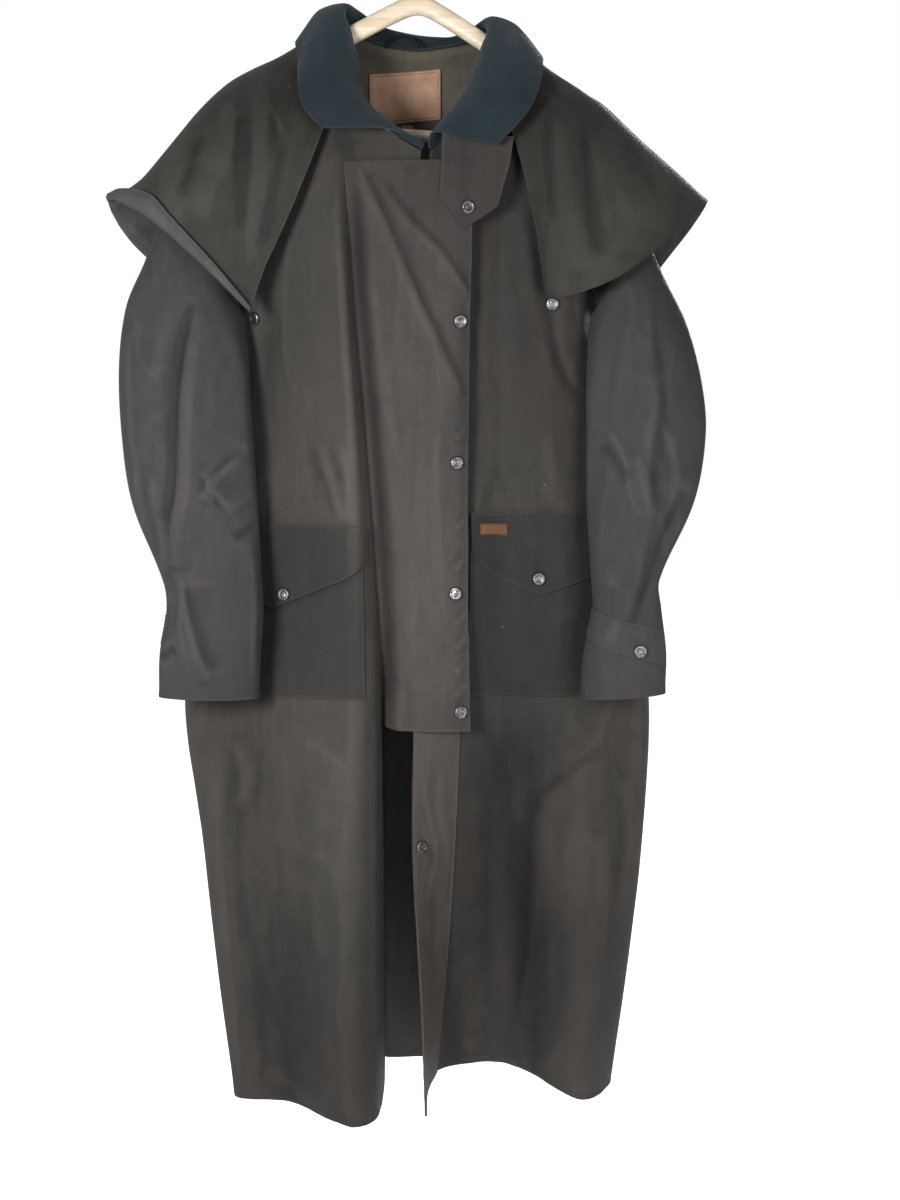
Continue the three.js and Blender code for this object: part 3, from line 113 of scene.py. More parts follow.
def loft(rows):
    """A smooth surface through a table of sections: rows run down the cloth, ribs across it."""
    rows = np.asarray(rows, float)
    ribs = rows.swapaxes(0, 1)
    across_knots, down_knots = spacing(ribs), spacing(rows)

    def surface(down, across):
        sections = curve_at(ribs, across_knots, across)
        return curve_at(sections.swapaxes(0, 1), down_knots, down)

    return surface


def steps(start, end, step):
    return np.linspace(start, end, round((end - start) / step) + 1)


def unit(v):
    return v / np.maximum(np.linalg.norm(v, axis=-1, keepdims=True), 1e-12)


class Cloth:
    """A grid of points on a cloth, with a normal at each on its outer side."""

    painted_shadow = 0  # painted shadow: how much darker it is where another piece lies over it

    def __init__(self, points, away=None, normals=None):
        self.points = np.array(points, float)
        self.rows, self.columns = self.points.shape[:2]
        self.normals = self.find_normals(away) if normals is None else np.array(normals)

    def find_normals(self, away):
        p = self.points
        r, c = np.arange(self.rows), np.arange(self.columns)
        down = p[np.minimum(r + 1, self.rows - 1)] - p[np.maximum(r - 1, 0)]
        across = p[:, np.minimum(c + 1, self.columns - 1)] - p[:, np.maximum(c - 1, 0)]
        n = unit(np.cross(down, across))
        i, j = self.rows // 2, self.columns // 2
        outward = np.dot(p[i, j] - np.array(away), n[i, j]) > 0
        return n if outward else -n

    def at(self, row, column):
        """Points and normals at fractional rows and columns, on the facets."""
        row, column = np.asarray(row, float), np.asarray(column, float)
        i = np.clip(np.floor(row).astype(int), 0, self.rows - 2)
        j = np.clip(np.floor(column).astype(int), 0, self.columns - 2)
        s, t = (row - i)[..., None], (column - j)[..., None]

        def blend(g):
            top = (1 - t) * g[i, j] + t * g[i, j + 1]
            return (1 - s) * top + s * ((1 - t) * g[i + 1, j] + t * g[i + 1, j + 1])

        return blend(self.points), unit(blend(self.normals))

    def lifted(self, row, column, lift):
        point, normal = self.at(row, column)
        return point + normal * lift

    def find(self, x, z):
        """The fractional row and column at a place seen from the front."""
        target = np.array([x, z])

        def miss(r, c):
            return np.linalg.norm(self.at(r, c)[0][[0, 2]] - target)

        gaps = np.linalg.norm(self.points[..., [0, 2]] - target, axis=-1)
        row, column = (float(v) for v in np.unravel_index(gaps.argmin(), gaps.shape))
        least, step = float(gaps.min()), 1.0
        while step > 0.004:
            for a, b in ((step, 0), (-step, 0), (0, step), (0, -step)):
                r = min(self.rows - 1, max(0, row + a))
                c = min(self.columns - 1, max(0, column + b))
                if miss(r, c) < least:
                    least, row, column = miss(r, c), r, c
            step /= 1.6
        return row, column

    def part(self, rows, columns):
        return Cloth(self.points[rows, columns], normals=self.normals[rows, columns])


def body_top(x):
    """Height of the shoulder seams, which lie on the sloping arms of the hanger."""
    x = np.asarray(x, float)
    arm = ARM_TOP_Z - ARM_SLOPE * np.hypot(x, ARM_ROUND) - HANGER_LEAN * x
    return arm + SEAM_GAP + CLOTH / 2 + ARM_CLEAR


class Armhole:
    """An armhole in one upright slanting plane, from the shoulder tip to the underarm."""

    def __init__(self, sign, tip_x, under_x):
        self.sign, self.under_x = sign, under_x
        self.tip = (sign * tip_x, float(body_top(sign * tip_x)))
        self.under = (sign * under_x, UNDERARM_Z)

    def point(self, z, way):
        share = np.clip((self.tip[1] - z) / (self.tip[1] - UNDERARM_Z), 0, 1)
        deep = np.sqrt(max(0, 1 - (2 * share - 1) ** 2))
        x = self.tip[0] + (self.under[0] - self.tip[0]) * share
        return (x, way * (SEAM_GAP / 2 + ARMHOLE_DEPTH * deep), z)


RIGHT_ARMHOLE = Armhole(-1, 222, 208)
LEFT_ARMHOLE = Armhole(1, 216, 204)

# Fronts
# Each pair is the x and y of one rib, at the section's height.
RIGHT_FRONT = [
    dict(z=-345, flank=(-180, -56), hollow=(-135, -66), ridge=(-97, -76), turn=(-74, -70),
         edge=(-8, -72)),
    dict(z=-455, flank=(-195, -44), hollow=(-145, -66), ridge=(-90, -86), turn=(-73, -72),
         edge=(-26, -70)),
    dict(z=-530, side=-223, flank=(-194, -35), hollow=(-147, -64), ridge=(-86, -89), turn=(-70, -72),
         edge=(-32, -70)),
    dict(z=-600, side=-227, flank=(-202, -33), hollow=(-150, -62), ridge=(-82, -91), turn=(-66, -73),
         edge=(-36, -70)),
    dict(z=-700, side=-232, flank=(-216, -33), hollow=(-158, -61), ridge=(-79, -92), turn=(-61, -75),
         edge=(-41, -70)),
    dict(z=-820, side=-268, flank=(-254, -34), hollow=(-172, -66), ridge=(-80, -98), turn=(-56, -80),
         edge=(-45, -66)),
    dict(z=-950, side=-291, flank=(-280, -38), hollow=(-182, -78), ridge=(-80, -102), turn=(-52, -84),
         edge=(-47, -56)),
    dict(z=-1120, side=-268, flank=(-264, -47), hollow=(-183, -87), ridge=(-86, -119), turn=(-52, -99),
         edge=(-46, -40)),
    dict(z=-1290, side=-246, flank=(-246, -60), hollow=(-169, -85), ridge=(-88, -138), turn=(-51, -112),
         edge=(-46, -25)),
    dict(z=HEM_Z, side=-222, flank=(-228, -68), hollow=(-155, -86), ridge=(-80, -152), turn=(-50, -124),
         edge=(-47, -12)),
]

LEFT_FRONT = [
    dict(z=-345, flank=(176, -54), lobe=(138, -58), valley=(98, -62), fly=(62, -72), edge=(12, -72)),
    dict(z=-455, flank=(191, -44), lobe=(148, -61), valley=(95, -64), fly=(60, -76), edge=(8, -76)),
    dict(z=-530, side=219, flank=(191, -35), lobe=(150, -60), valley=(93, -65), fly=(58, -78),
         edge=(6, -79)),
    dict(z=-600, side=224, flank=(200, -33), lobe=(152, -59), valley=(92, -66), fly=(57, -79),
         edge=(4, -80)),
    dict(z=-700, side=231, flank=(215, -33), lobe=(160, -59), valley=(93, -67), fly=(56, -80),
         edge=(2, -81)),
    dict(z=-820, side=266, flank=(252, -36), lobe=(174, -66), valley=(97, -68), fly=(54, -80),
         edge=(-2, -83)),
    dict(z=-950, side=283, flank=(273, -40), lobe=(185, -76), valley=(104, -64), fly=(50, -72),
         edge=(-6, -88)),
    dict(z=-1120, side=275, flank=(270, -44), lobe=(190, -84), valley=(108, -38), fly=(42, -62),
         edge=(-8, -98)),
    dict(z=-1290, side=257, flank=(255, -40), lobe=(192, -82), valley=(110, -17, -1284),
         fly=(31, -48, -1284), edge=(1, -113)),
    dict(z=HEM_Z, side=234, flank=(239, -28), lobe=(196, -78), valley=(110, -7, -1424),
         fly=(19, -22, -1429), edge=(7, -126)),
]
FRONT_TOPS = dict(
    right=dict(shoulder=(-185, -140), neck=((-66, -50, -248), (4, -72, -301))),
    left=dict(shoulder=(182, 140), neck=((66, -50, -252), (14, -72, -301))),
)
FRONT_YOKES = dict(
    right=((-185, -38, -248), (-140, -46, -252), (-101, -56, -264), (-69, -62, -292), (2, -73, -326)),
    left=((182, -38, -252), (140, -46, -256), (101, -56, -268), (68, -62, -296), (13, -72, -326)),
)


def front_rows(armhole, tops, yoke, table, ribs):
    """Sections of a front as rows of points: shoulder and neck first, then down to the hem."""
    flat = -SEAM_GAP / 2
    on_seam = [(x, flat, float(body_top(x))) for x in (*tops["shoulder"], armhole.sign * NECK_X)]
    rows = [
        [armhole.point(armhole.tip[1], -1), *on_seam, *tops["neck"]],
        [armhole.point(yoke[0][2], -1), *yoke],
    ]
    for r in table:
        side = (r["side"], flat, r["z"]) if "side" in r else armhole.point(r["z"], -1)
        places = [(r[name][0], r[name][1], r[name][2] if len(r[name]) > 2 else r["z"]) for name in ribs]
        rows.append([side, *places])
    return rows


def rounded(start, end, share):
    """Between the shoulder seam and the section below, the cloth rounds over the hanger's arm."""
    turn = share * math.pi / 2
    out = ARM_ROUNDING * math.sin(turn) + (1 - ARM_ROUNDING) * share
    down = ARM_ROUNDING * (1 - math.cos(turn)) + (1 - ARM_ROUNDING) * share
    start, end = np.asarray(start, float), np.asarray(end, float)
    return start + (end - start) * np.array([share, out, down])


def over_the_arm(surface, neck_rib):
    """Rounds a surface over the hanger's arm, and its neck corner off."""
    def shape(down, across):
        grid = surface(down, across)
        top, below = surface([0], across)[0], surface([1], across)[0]
        for j, rib in enumerate(across):
            if neck_rib < rib < neck_rib + 1:
                corner = surface([0], [neck_rib, neck_rib + 1])[0]
                top[j] = rounded(corner[0], corner[1], rib - neck_rib)
        for i, row in enumerate(down):
            if row < 1:
                grid[i] = rounded(top, below, row)
        return grid

    return shape


TOP_PLACES = (0, 0.1, 0.24, 0.45, 0.7)
FRONT_DOWN = [*TOP_PLACES, *steps(1, 3, 0.5), 3.5, 4, 5, *steps(6, 8, 0.5), *steps(8 + 1 / 3, 11, 1 / 3)]
FRONT_ACROSS = [0, 0.5, *steps(1, 3, 1 / 3), 3 + 1 / 6, *steps(3 + 1 / 3, 4, 1 / 3), 4.5, 5]
NECK_RIB = 3


def nearest_place(places, value):
    return int(np.abs(np.array(places) - value).argmin())


def make_front(side, armhole, table, ribs):
    rows = front_rows(armhole, FRONT_TOPS[side], FRONT_YOKES[side], table, ribs)
    grid = over_the_arm(loft(rows), NECK_RIB)(FRONT_DOWN, FRONT_ACROSS)
    for line in grid:
        if line[0][2] > UNDERARM_Z:
            line[0] = armhole.point(line[0][2], -1)
    return Cloth(grid, SPINE)


right_front = make_front("right", RIGHT_ARMHOLE, RIGHT_FRONT, ("flank", "hollow", "ridge", "turn", "edge"))
left_front = make_front("left", LEFT_ARMHOLE, LEFT_FRONT, ("flank", "lobe", "valley", "fly", "edge"))

# Back
BACK_TOP = dict(shoulder=165, neck=((50, 42, -154), (0, 57, -158)))
YOKE_MIDDLE = ((168, 40, -252), (102, 48, -236), (50, 54, -236), (0, 58, -238))

BACK_SECTIONS = [
    dict(z=YOKE_SEAM_Z, flank=(165, 53), blade=(105, 57), hollow=(50, 59), middle=59),
    dict(z=-400, flank=(165, 53), blade=(107, 57), hollow=(51, 58), middle=58),
    dict(z=UNDERARM_Z, flank=(174, 47), blade=(110, 55), hollow=(52, 57), middle=57),
    dict(z=-530, flank=(172, 43), blade=(109, 53), hollow=(52, 55), middle=55),
    dict(z=-600, flank=(180, 42), blade=(112, 52), hollow=(53, 53), middle=53),
    dict(z=-700, flank=(195, 45), blade=(120, 54), hollow=(56, 50), middle=52),
    dict(z=-820, flank=(228, 54), blade=(136, 61), hollow=(62, 51), middle=55),
    dict(z=-950, flank=(252, 62), blade=(150, 67), hollow=(70, 54), middle=60),
    dict(z=-1120, flank=(250, 70), blade=(150, 73), hollow=(72, 56), middle=64),
    dict(z=-1290, flank=(236, 73), blade=(146, 76), hollow=(70, 54), middle=58),
    dict(z=HEM_Z, flank=(222, 74), blade=(142, 78), hollow=(66, 52), middle=54),
]
VENT = dict(top_z=-905, right=-1.4, left=1)


def back_row(armhole, fronts, section):
    """A section of a back. Its side seam follows that of the front."""
    z = section["z"]
    seam = next((r.get("side") for r in fronts if r["z"] == z), None)
    side = armhole.point(z, 1) if seam is None else (seam, SEAM_GAP / 2, z)
    ribs = [(armhole.sign * section[n][0], section[n][1], z) for n in ("flank", "blade", "hollow")]
    return [side, *ribs, (0, section["middle"], z)]


def yoke_half(armhole, fronts):
    sign = armhole.sign
    on_seam = [(sign * x, SEAM_GAP / 2, float(body_top(sign * x))) for x in (BACK_TOP["shoulder"], NECK_X)]
    neck = [(sign * x, y, z) for x, y, z in BACK_TOP["neck"]]
    middle = [(sign * x, y, z) for x, y, z in YOKE_MIDDLE]
    return [
        [armhole.point(armhole.tip[1], 1), *on_seam, *neck],
        [armhole.point(YOKE_MIDDLE[0][2], 1), *middle],
        back_row(armhole, fronts, BACK_SECTIONS[0]),
        back_row(armhole, fronts, BACK_SECTIONS[1]),
    ]


YOKE_LAST_RIB = 8
YOKE_ACROSS = [0, 0.5, 1, 1.5, 2, 2.25, 2.5, 3, 3.5, 4, 4.5, 5, 5.5, 5.75, 6, 6.5, 7, 7.5, YOKE_LAST_RIB]


def make_yoke():
    halves = zip(yoke_half(RIGHT_ARMHOLE, RIGHT_FRONT), yoke_half(LEFT_ARMHOLE, LEFT_FRONT))
    rows = [[*right, *left[:-1][::-1]] for right, left in halves]
    grid = over_the_arm(loft(rows), YOKE_LAST_RIB)([*TOP_PLACES, 1, 1.5, 2], YOKE_ACROSS)
    for line in grid:
        line[0] = RIGHT_ARMHOLE.point(line[0][2], 1)
        line[-1] = LEFT_ARMHOLE.point(line[-1][2], 1)
    return Cloth(grid, SPINE)


BACK_DOWN = [0, 0.5, 1, 2, 3, 4, 5, 5.5, 6, 6.5, *steps(7, 10, 1 / 3)]


def make_back(armhole, fronts):
    rows = [back_row(armhole, fronts, s) for s in BACK_SECTIONS]
    grid = loft(rows)(BACK_DOWN, steps(0, 4, 0.5))
    for line in grid:
        if line[0][2] > UNDERARM_Z:
            line[0] = armhole.point(line[0][2], 1)
    return Cloth(grid, SPINE)


yoke = make_yoke()
right_back = make_back(RIGHT_ARMHOLE, RIGHT_FRONT)
left_back = make_back(LEFT_ARMHOLE, LEFT_FRONT)

# Sleeves
# Each ring has its outer and inner points as x and z, the y of its middle, and half its depth.
RIGHT_SLEEVE = [
    dict(outer=RIGHT_ARMHOLE.tip, inner=(-RIGHT_ARMHOLE.under_x, UNDERARM_Z + 2), y=0,
         depth=ARMHOLE_DEPTH),
    dict(outer=(-249, -252), inner=(-213, -462), y=-4, depth=45),
    dict(outer=(-277, -305), inner=(-217, -472), y=-14, depth=43),
    dict(outer=(-300, -362), inner=(-208, -487), y=-28, depth=39),
    dict(outer=(-322, -424), inner=(-204, -509), y=-42, depth=36),
    dict(outer=(-343, -477), inner=(-201, -534), y=-52, depth=34),
    dict(outer=(-351, -550), inner=(-198, -576), y=-62, depth=33),
    dict(outer=(-346, -640), inner=(-193, -648), y=-74, depth=32),
    dict(outer=(-333, -710), inner=(-188, -714), y=-85, depth=32),
    dict(outer=(-296, -800), inner=(-182, -803), y=-100, depth=30),
    dict(outer=(-293, -832), inner=(-181, -835), y=-104, depth=29),
    dict(outer=(-301, -882), inner=(-184, -884), y=-108, depth=28),
    dict(outer=(-302, -932), inner=(-186, -934), y=-111, depth=27),
]

LEFT_SLEEVE = [
    dict(outer=LEFT_ARMHOLE.tip, inner=(LEFT_ARMHOLE.under_x, UNDERARM_Z + 2), y=0,
         depth=ARMHOLE_DEPTH),
    dict(outer=(233, -272), inner=(209, -463), y=-4, depth=45),
    dict(outer=(250, -329), inner=(214, -473), y=-14, depth=43),
    dict(outer=(266, -385), inner=(205, -487), y=-28, depth=39),
    dict(outer=(288, -441), inner=(201, -510), y=-42, depth=36),
    dict(outer=(314, -497), inner=(199, -539), y=-53, depth=34),
    dict(outer=(331, -562), inner=(197, -580), y=-63, depth=33),
    dict(outer=(336, -625), inner=(197, -634), y=-73, depth=32),
    dict(outer=(322, -704), inner=(197, -710), y=-85, depth=31),
    dict(outer=(280, -796), inner=(202, -801), y=-101, depth=29),
    dict(outer=(282, -828), inner=(203, -832), y=-105, depth=28),
    dict(outer=(288, -880), inner=(192, -884), y=-109, depth=27),
    dict(outer=(287, -928), inner=(189, -934), y=-112, depth=26),
]

SLEEVE_TURNS = 16
SLEEVE_CLEAR = 1.1
SLEEVE_DOWN = [0, 0.5, 1, 1.5, 2, 3, 4, 5, 6, 6.5, 7, 7.5, 8, 8.5, 9, 10, 11, 12]


def sleeve_surface(table, sign):
    """A sleeve as a function of the turn round it and of the place down its table of rings."""
    shift = sign * (SEAM_GAP + SLEEVE_CLEAR)
    rows = []
    for r in table:
        outer, inner = ((r[name][0] + shift, r[name][1], r["y"]) for name in ("outer", "inner"))
        rows.append((outer, inner, (r["depth"], 0, 0)))
    rows = np.array(rows, float)
    knots = spacing(rows)

    def surface(down, turns):
        ring = curve_at(rows, knots, down)
        outer, inner, deep = ring[:, 0, None], ring[:, 1, None], ring[:, 2, None, 0]
        c, s = np.cos(turns)[None], np.sin(turns)[None]
        middle, reach = (outer + inner) / 2, (outer - inner) / 2
        x = middle[..., 0] + reach[..., 0] * c
        z = middle[..., 1] + reach[..., 1] * c
        y = outer[..., 2] - deep * s
        return np.stack([x, y, z], axis=-1)

    return surface


def sleeve_halves(surface):
    """The front and back halves of a sleeve, as the part has them."""
    turns = 2 * np.pi * np.arange(-1, SLEEVE_TURNS + 2) / SLEEVE_TURNS
    grid = surface(SLEEVE_DOWN, turns)
    axis = surface([6], np.array([np.pi / 2, -np.pi / 2]))[0].mean(axis=0)
    whole = Cloth(grid, axis)
    if np.dot(whole.normals[8, 5], whole.points[8, 5] - axis) < 0:
        whole.normals = -whole.normals
    halves = []
    for start, way in ((1, -1), (1 + SLEEVE_TURNS // 2, 1)):
        half = whole.part(slice(None), slice(start, start + SLEEVE_TURNS // 2 + 1))
        half.points[:, [0, -1], 1] += way * SEAM_GAP / 2
        halves.append(half)
    return halves


right_sleeve = sleeve_surface(RIGHT_SLEEVE, -1)
left_sleeve = sleeve_surface(LEFT_SLEEVE, 1)
right_sleeve_front, right_sleeve_back = sleeve_halves(right_sleeve)
left_sleeve_front, left_sleeve_back = sleeve_halves(left_sleeve)

# Laying one cloth on others
STAND_OFF_REACH = 45
PAST_RIM = 4
INSIDE = (0.2, 0.5, 0.8)


class Bed:
    """The places of the cloths that another cloth lies on."""

    def __init__(self, hosts):
        points, normals, rims = [], [], []
        for host in hosts:
            r, c = np.arange(2 * host.rows - 1), np.arange(2 * host.columns - 1)
            p, n = host.at(*np.meshgrid(r / 2, c / 2, indexing="ij"))
            rim = np.isin(r, (0, r[-1]))[:, None] | np.isin(c, (0, c[-1]))[None]
            points.append(p.reshape(-1, 3))
            normals.append(n.reshape(-1, 3))
            rims.append(rim.ravel())
        self.points, self.normals = np.concatenate(points), np.concatenate(normals)
        self.rims = np.concatenate(rims)
        self.tree = kdtree.KDTree(len(self.points))
        for k, p in enumerate(self.points):
            self.tree.insert(p, k)
        self.tree.balance()

    def lack(self, p, clear):
        """How far a point has to move off the nearest place of the bed, and which way."""
        _, k, far = self.tree.find(p)
        if far >= STAND_OFF_REACH:
            return None, None
        n = self.normals[k]
        height = float(np.dot(p - self.points[k], n))
        if self.rims[k] and far**2 - height**2 > PAST_RIM**2:
            return None, None
        return clear - height, n


def stand_off(grid, hosts, clear, first_row_exact=False):
    """Moves a grid of points off the cloths that it lies on."""
    bed, grid = Bed(hosts), np.array(grid, float)
    weights = {(s, t): ((1 - s) * (1 - t), (1 - s) * t, s * (1 - t), s * t) for s in INSIDE for t in INSIDE}
    for sweep in range(4):
        for i, line in enumerate(grid):
            for p in line:
                short, n = bed.lack(p, clear)
                if short is not None and (short > 0 or (first_row_exact and i == 0 and sweep == 0)):
                    p += n * short
        for i in range(len(grid) - 1):
            for j in range(len(grid[0]) - 1):
                corners = (grid[i, j], grid[i, j + 1], grid[i + 1, j], grid[i + 1, j + 1])
                for w in weights.values():
                    inside = sum(c * k for c, k in zip(corners, w))
                    short, n = bed.lack(inside, clear)
                    if short is None or short <= 0:
                        continue
                    for c, k in zip(corners, w):
                        c += n * (short * k / max(w))
    return grid


# Cape
# Each rib runs from the collar seam down to the hem, through three places between.
RIGHT_CAPE = [
    dict(rib="front", neck=(-99, -52, -230), upper=(-114, -80, -292), lower=(-152, -90, -385),
         flare=(-176, -93, -436), hem=(-194, -95, -486)),
    dict(rib="breast", neck=(-101, -32, -190), upper=(-148, -76, -268), lower=(-206, -92, -352),
         flare=(-230, -97, -398), hem=(-247, -98, -434)),
    dict(rib="arm", neck=(-102, -12, -164), upper=(-194, -54, -238), lower=(-262, -76, -312),
         flare=(-293, -80, -347), hem=(-316, -74, -375)),
    dict(rib="shoulder", neck=(-103, 0, -152), upper=(-228, 0, -209), lower=(-290, -3, -273),
         flare=(-334, -3, -323), hem=(-375, -3, -347)),
    dict(rib="backArm", neck=(-102, 10, -158), upper=(-190, 52, -238), lower=(-256, 72, -316),
         flare=(-306, 62, -362), hem=(-345, 40, -402)),
    dict(rib="blade", neck=(-68, 38, -162), upper=(-150, 66, -252), lower=(-200, 80, -332),
         flare=(-225, 88, -412), hem=(-240, 92, -478)),
]
CAPE_MIDDLE = dict(
    rib="middle", neck=(0, 62, -170), upper=(0, 74, -262), lower=(0, 82, -350),
    flare=(0, 87, -430), hem=(0, 90, -505),
)

LEFT_CAPE = [
    dict(rib="blade", neck=(68, 38, -166), upper=(150, 66, -258), lower=(200, 80, -336),
         flare=(223, 88, -414), hem=(236, 92, -480)),
    dict(rib="backArm", neck=(102, 10, -170), upper=(184, 50, -254), lower=(240, 70, -326),
         flare=(276, 64, -366), hem=(315, 40, -398)),
    dict(rib="shoulder", neck=(103, 0, -166), upper=(217, 0, -234), lower=(265, 0, -275),
         flare=(310, -2, -314), hem=(347, -4, -348)),
    dict(rib="arm", neck=(102, -12, -176), upper=(184, -52, -254), lower=(238, -76, -324),
         flare=(275, -80, -359), hem=(311, -52, -383)),
    dict(rib="breast", neck=(101, -30, -200), upper=(170, -72, -272), lower=(196, -91, -352),
         flare=(216, -98, -405), hem=(230, -99, -447)),
    dict(rib="fold", neck=(99, -44, -224), upper=(147, -74, -278), lower=(155, -91, -362),
         flare=(159, -98, -422), hem=(165, -100, -470)),
    dict(rib="underturn", neck=(94, -54, -244), upper=(112, -76, -292), lower=(131, -82, -364),
         flare=(142, -85, -420), hem=(147, -86, -462)),
]
TURN_UP = dict(widths=(4, 7, 10, 13, 16, 20, 25, 22, 12, 4), rise=4)

# Places round the neck, with the collar's roll line, the middle of its fall and its edge.
COLLAR = [
    dict(place=0, roll=(-28, -82, -280), fall=(-68, -95, -279), edge=(-107, -98, -281)),
    dict(place=0.1, roll=(-66, -74, -246), fall=(-100, -90, -252), edge=(-131, -92, -256)),
    dict(place=0.21, roll=(-82, -54, -200), fall=(-110, -72, -208), edge=(-138, -70, -222)),
    dict(place=0.3, roll=(-88, -26, -150), fall=(-118, -38, -156), edge=(-140, -36, -190)),
    dict(place=0.355, roll=(-86, 2, -117), fall=(-119, 3, -125), edge=(-141, 4, -160)),
    dict(place=0.43, roll=(-50, 36, -132), fall=(-76, 60, -142), edge=(-98, 76, -180)),
    dict(place=0.5, roll=(3, 48, -142), fall=(3, 72, -152), edge=(3, 88, -196)),
    dict(place=0.57, roll=(56, 36, -144), fall=(78, 60, -152), edge=(100, 76, -190)),
    dict(place=0.645, roll=(84, 2, -131), fall=(115, 3, -142), edge=(142, 4, -178)),
    dict(place=0.7, roll=(80, -26, -162), fall=(112, -40, -170), edge=(145, -40, -196)),
    dict(place=0.79, roll=(66, -54, -208), fall=(102, -74, -216), edge=(140, -72, -228)),
    dict(place=0.9, roll=(44, -76, -248), fall=(88, -94, -258), edge=(124, -92, -264)),
    dict(place=1, roll=(18, -85, -283), fall=(54, -98, -292), edge=(90, -100, -300)),
]

# Sections of the storm flap, from its seam to its free edge.
STORM_FLAP = [
    dict(z=-314, seam=(-86, -79), inner=(-48, -84), outer=(-10, -87), edge=(24, -88)),
    dict(z=-332, seam=(-85, -79), inner=(-42, -85), outer=(6, -89), edge=(44, -91)),
    dict(z=-350, seam=(-84, -80), inner=(-38, -86), outer=(14, -90), edge=(60, -92)),
    dict(z=-473, seam=(-77, -82), inner=(-34, -89), outer=(14, -93), edge=(60, -93)),
    dict(z=-633, seam=(-63, -80), inner=(-24, -89), outer=(18, -93), edge=(58, -92)),
    dict(z=-823, seam=(-51, -80), inner=(-16, -91), outer=(20, -95), edge=(58, -93)),
    dict(z=-977, seam=(-45, -81), inner=(-10, -94), outer=(26, -99), edge=(61, -96)),
]
THROAT_TAB = [
    ((28, -84, -284), (48, -85, -284), (68, -85, -285), (88, -85, -286), (110, -84, -288)),
    ((27, -90, -322), (46, -91, -322), (65, -91, -322), (84, -91, -321), (105, -89, -320)),
    ((26, -92, -342), (42, -93, -348), (59, -94, -352), (77, -94, -349), (98, -92, -344)),
    ((26, -93, -357), (40, -94, -375), (55, -95, -391), (74, -95, -379), (92, -94, -367)),
]

BODY_CLOTHS = (right_front, left_front, yoke, right_back, left_back)
SLEEVE_HALVES = (right_sleeve_front, right_sleeve_back, left_sleeve_front, left_sleeve_back)
CAPE_DOWN = [0, 0.25, 0.5, 0.75, 1, 1.5, 2, 2.5, 3, 3.5, 4]
CAPE_SEAMS = (3, 9)
CAPE_ACROSS = [
    *steps(0, 4, 1 / 3), 4.5, 5, 5.5, 6, 6.5, 7, 7.5, 8, *steps(8 + 1 / 3, 12, 1 / 3), 12.5, 13,
]
CAPE_CLEAR = CLOTH + SEAM_GAP + 0.8


def make_cape():
    ribs = [*RIGHT_CAPE, CAPE_MIDDLE, *LEFT_CAPE]
    rows = [[r[name] for r in ribs] for name in ("neck", "upper", "lower", "flare", "hem")]
    grid = loft(rows)(CAPE_DOWN, CAPE_ACROSS)
    return Cloth(stand_off(grid, (*BODY_CLOTHS, *SLEEVE_HALVES), CAPE_CLEAR, True), (0, 0, -500))


def cut_piece(whole, start, end, seams):
    """A piece of a cloth between two of its columns, drawn back a little where it is seamed."""
    piece = whole.part(slice(None), slice(start, end + 1))
    for edge, beside, seamed in ((0, 1, seams[0]), (-1, -2, seams[1])):
        if seamed:
            way = piece.points[:, beside] - piece.points[:, edge]
            piece.points[:, edge] += unit(way) * SEAM_GAP
    return piece


cape = make_cape()
right_seam, left_seam = (nearest_place(CAPE_ACROSS, rib) for rib in CAPE_SEAMS)
right_cape = cut_piece(cape, 0, right_seam, (False, True))
back_cape = cut_piece(cape, right_seam, left_seam, (True, True))
left_cape = cut_piece(cape, left_seam, cape.columns - 1, (True, False))


def turned_up(piece):
    """The right cape's hem is turned up on its outside, widest at the shoulder."""
    hem, above, n = piece.points[-1], piece.points[-2], piece.normals[-1]
    up = unit(above - hem)
    widths = np.array([TURN_UP["widths"][min(j, 9)] for j in range(piece.columns)])[:, None]
    rise = TURN_UP["rise"]
    fold = hem + n * rise - up
    edge = hem + n * rise * 2 + up * widths
    return Cloth(np.concatenate([piece.points, fold[None], edge[None]]), (0, 0, -500))


right_cape_turned = turned_up(right_cape)

# Collar
COLLAR_STAND = 8
COLLAR_UPRIGHT = 0.8
COLLAR_SEAM_LIFT = SEAM_GAP + 1
COLLAR_LEAN = 0.35
COLLAR_DOWN = [0, 1, 1.5, 1.8, 2.1, 2.4, 2.7, 3, 3.5, 4]
FALL_FROM = COLLAR_DOWN.index(2.4)
UNDER_LIFT = COLLAR_CLOTH / 2 + SEAM_GAP + CLOTH / 2
COLLAR_CLEAR = UNDER_LIFT + CLOTH + SEAM_GAP + 1.2


def neckline():
    """Places round the neck, each with the way up and off the cloth."""
    neck_column = nearest_place(FRONT_ACROSS, NECK_RIB) + 1
    fronts = range(neck_column, len(FRONT_ACROSS))
    yoke_columns = range(nearest_place(YOKE_ACROSS, 2), nearest_place(YOKE_ACROSS, 6) + 1)
    places = [(right_front, j) for j in reversed(fronts)]
    places += [(yoke, j) for j in yoke_columns] + [(left_front, j) for j in fronts]
    points = np.array([cloth.points[0, j] for cloth, j in places])
    normals = np.array([cloth.normals[0, j] for cloth, j in places])
    k = np.arange(len(points))
    along = unit(points[np.minimum(k + 1, k[-1])] - points[np.maximum(k - 1, 0)])
    off = np.cross(normals, along)
    off *= np.where(-off[:, 0] * points[:, 0] + off[:, 2] * 40 < 0, -1, 1)[:, None]
    off[:, 2] += COLLAR_UPRIGHT
    return points, normals, unit(off)


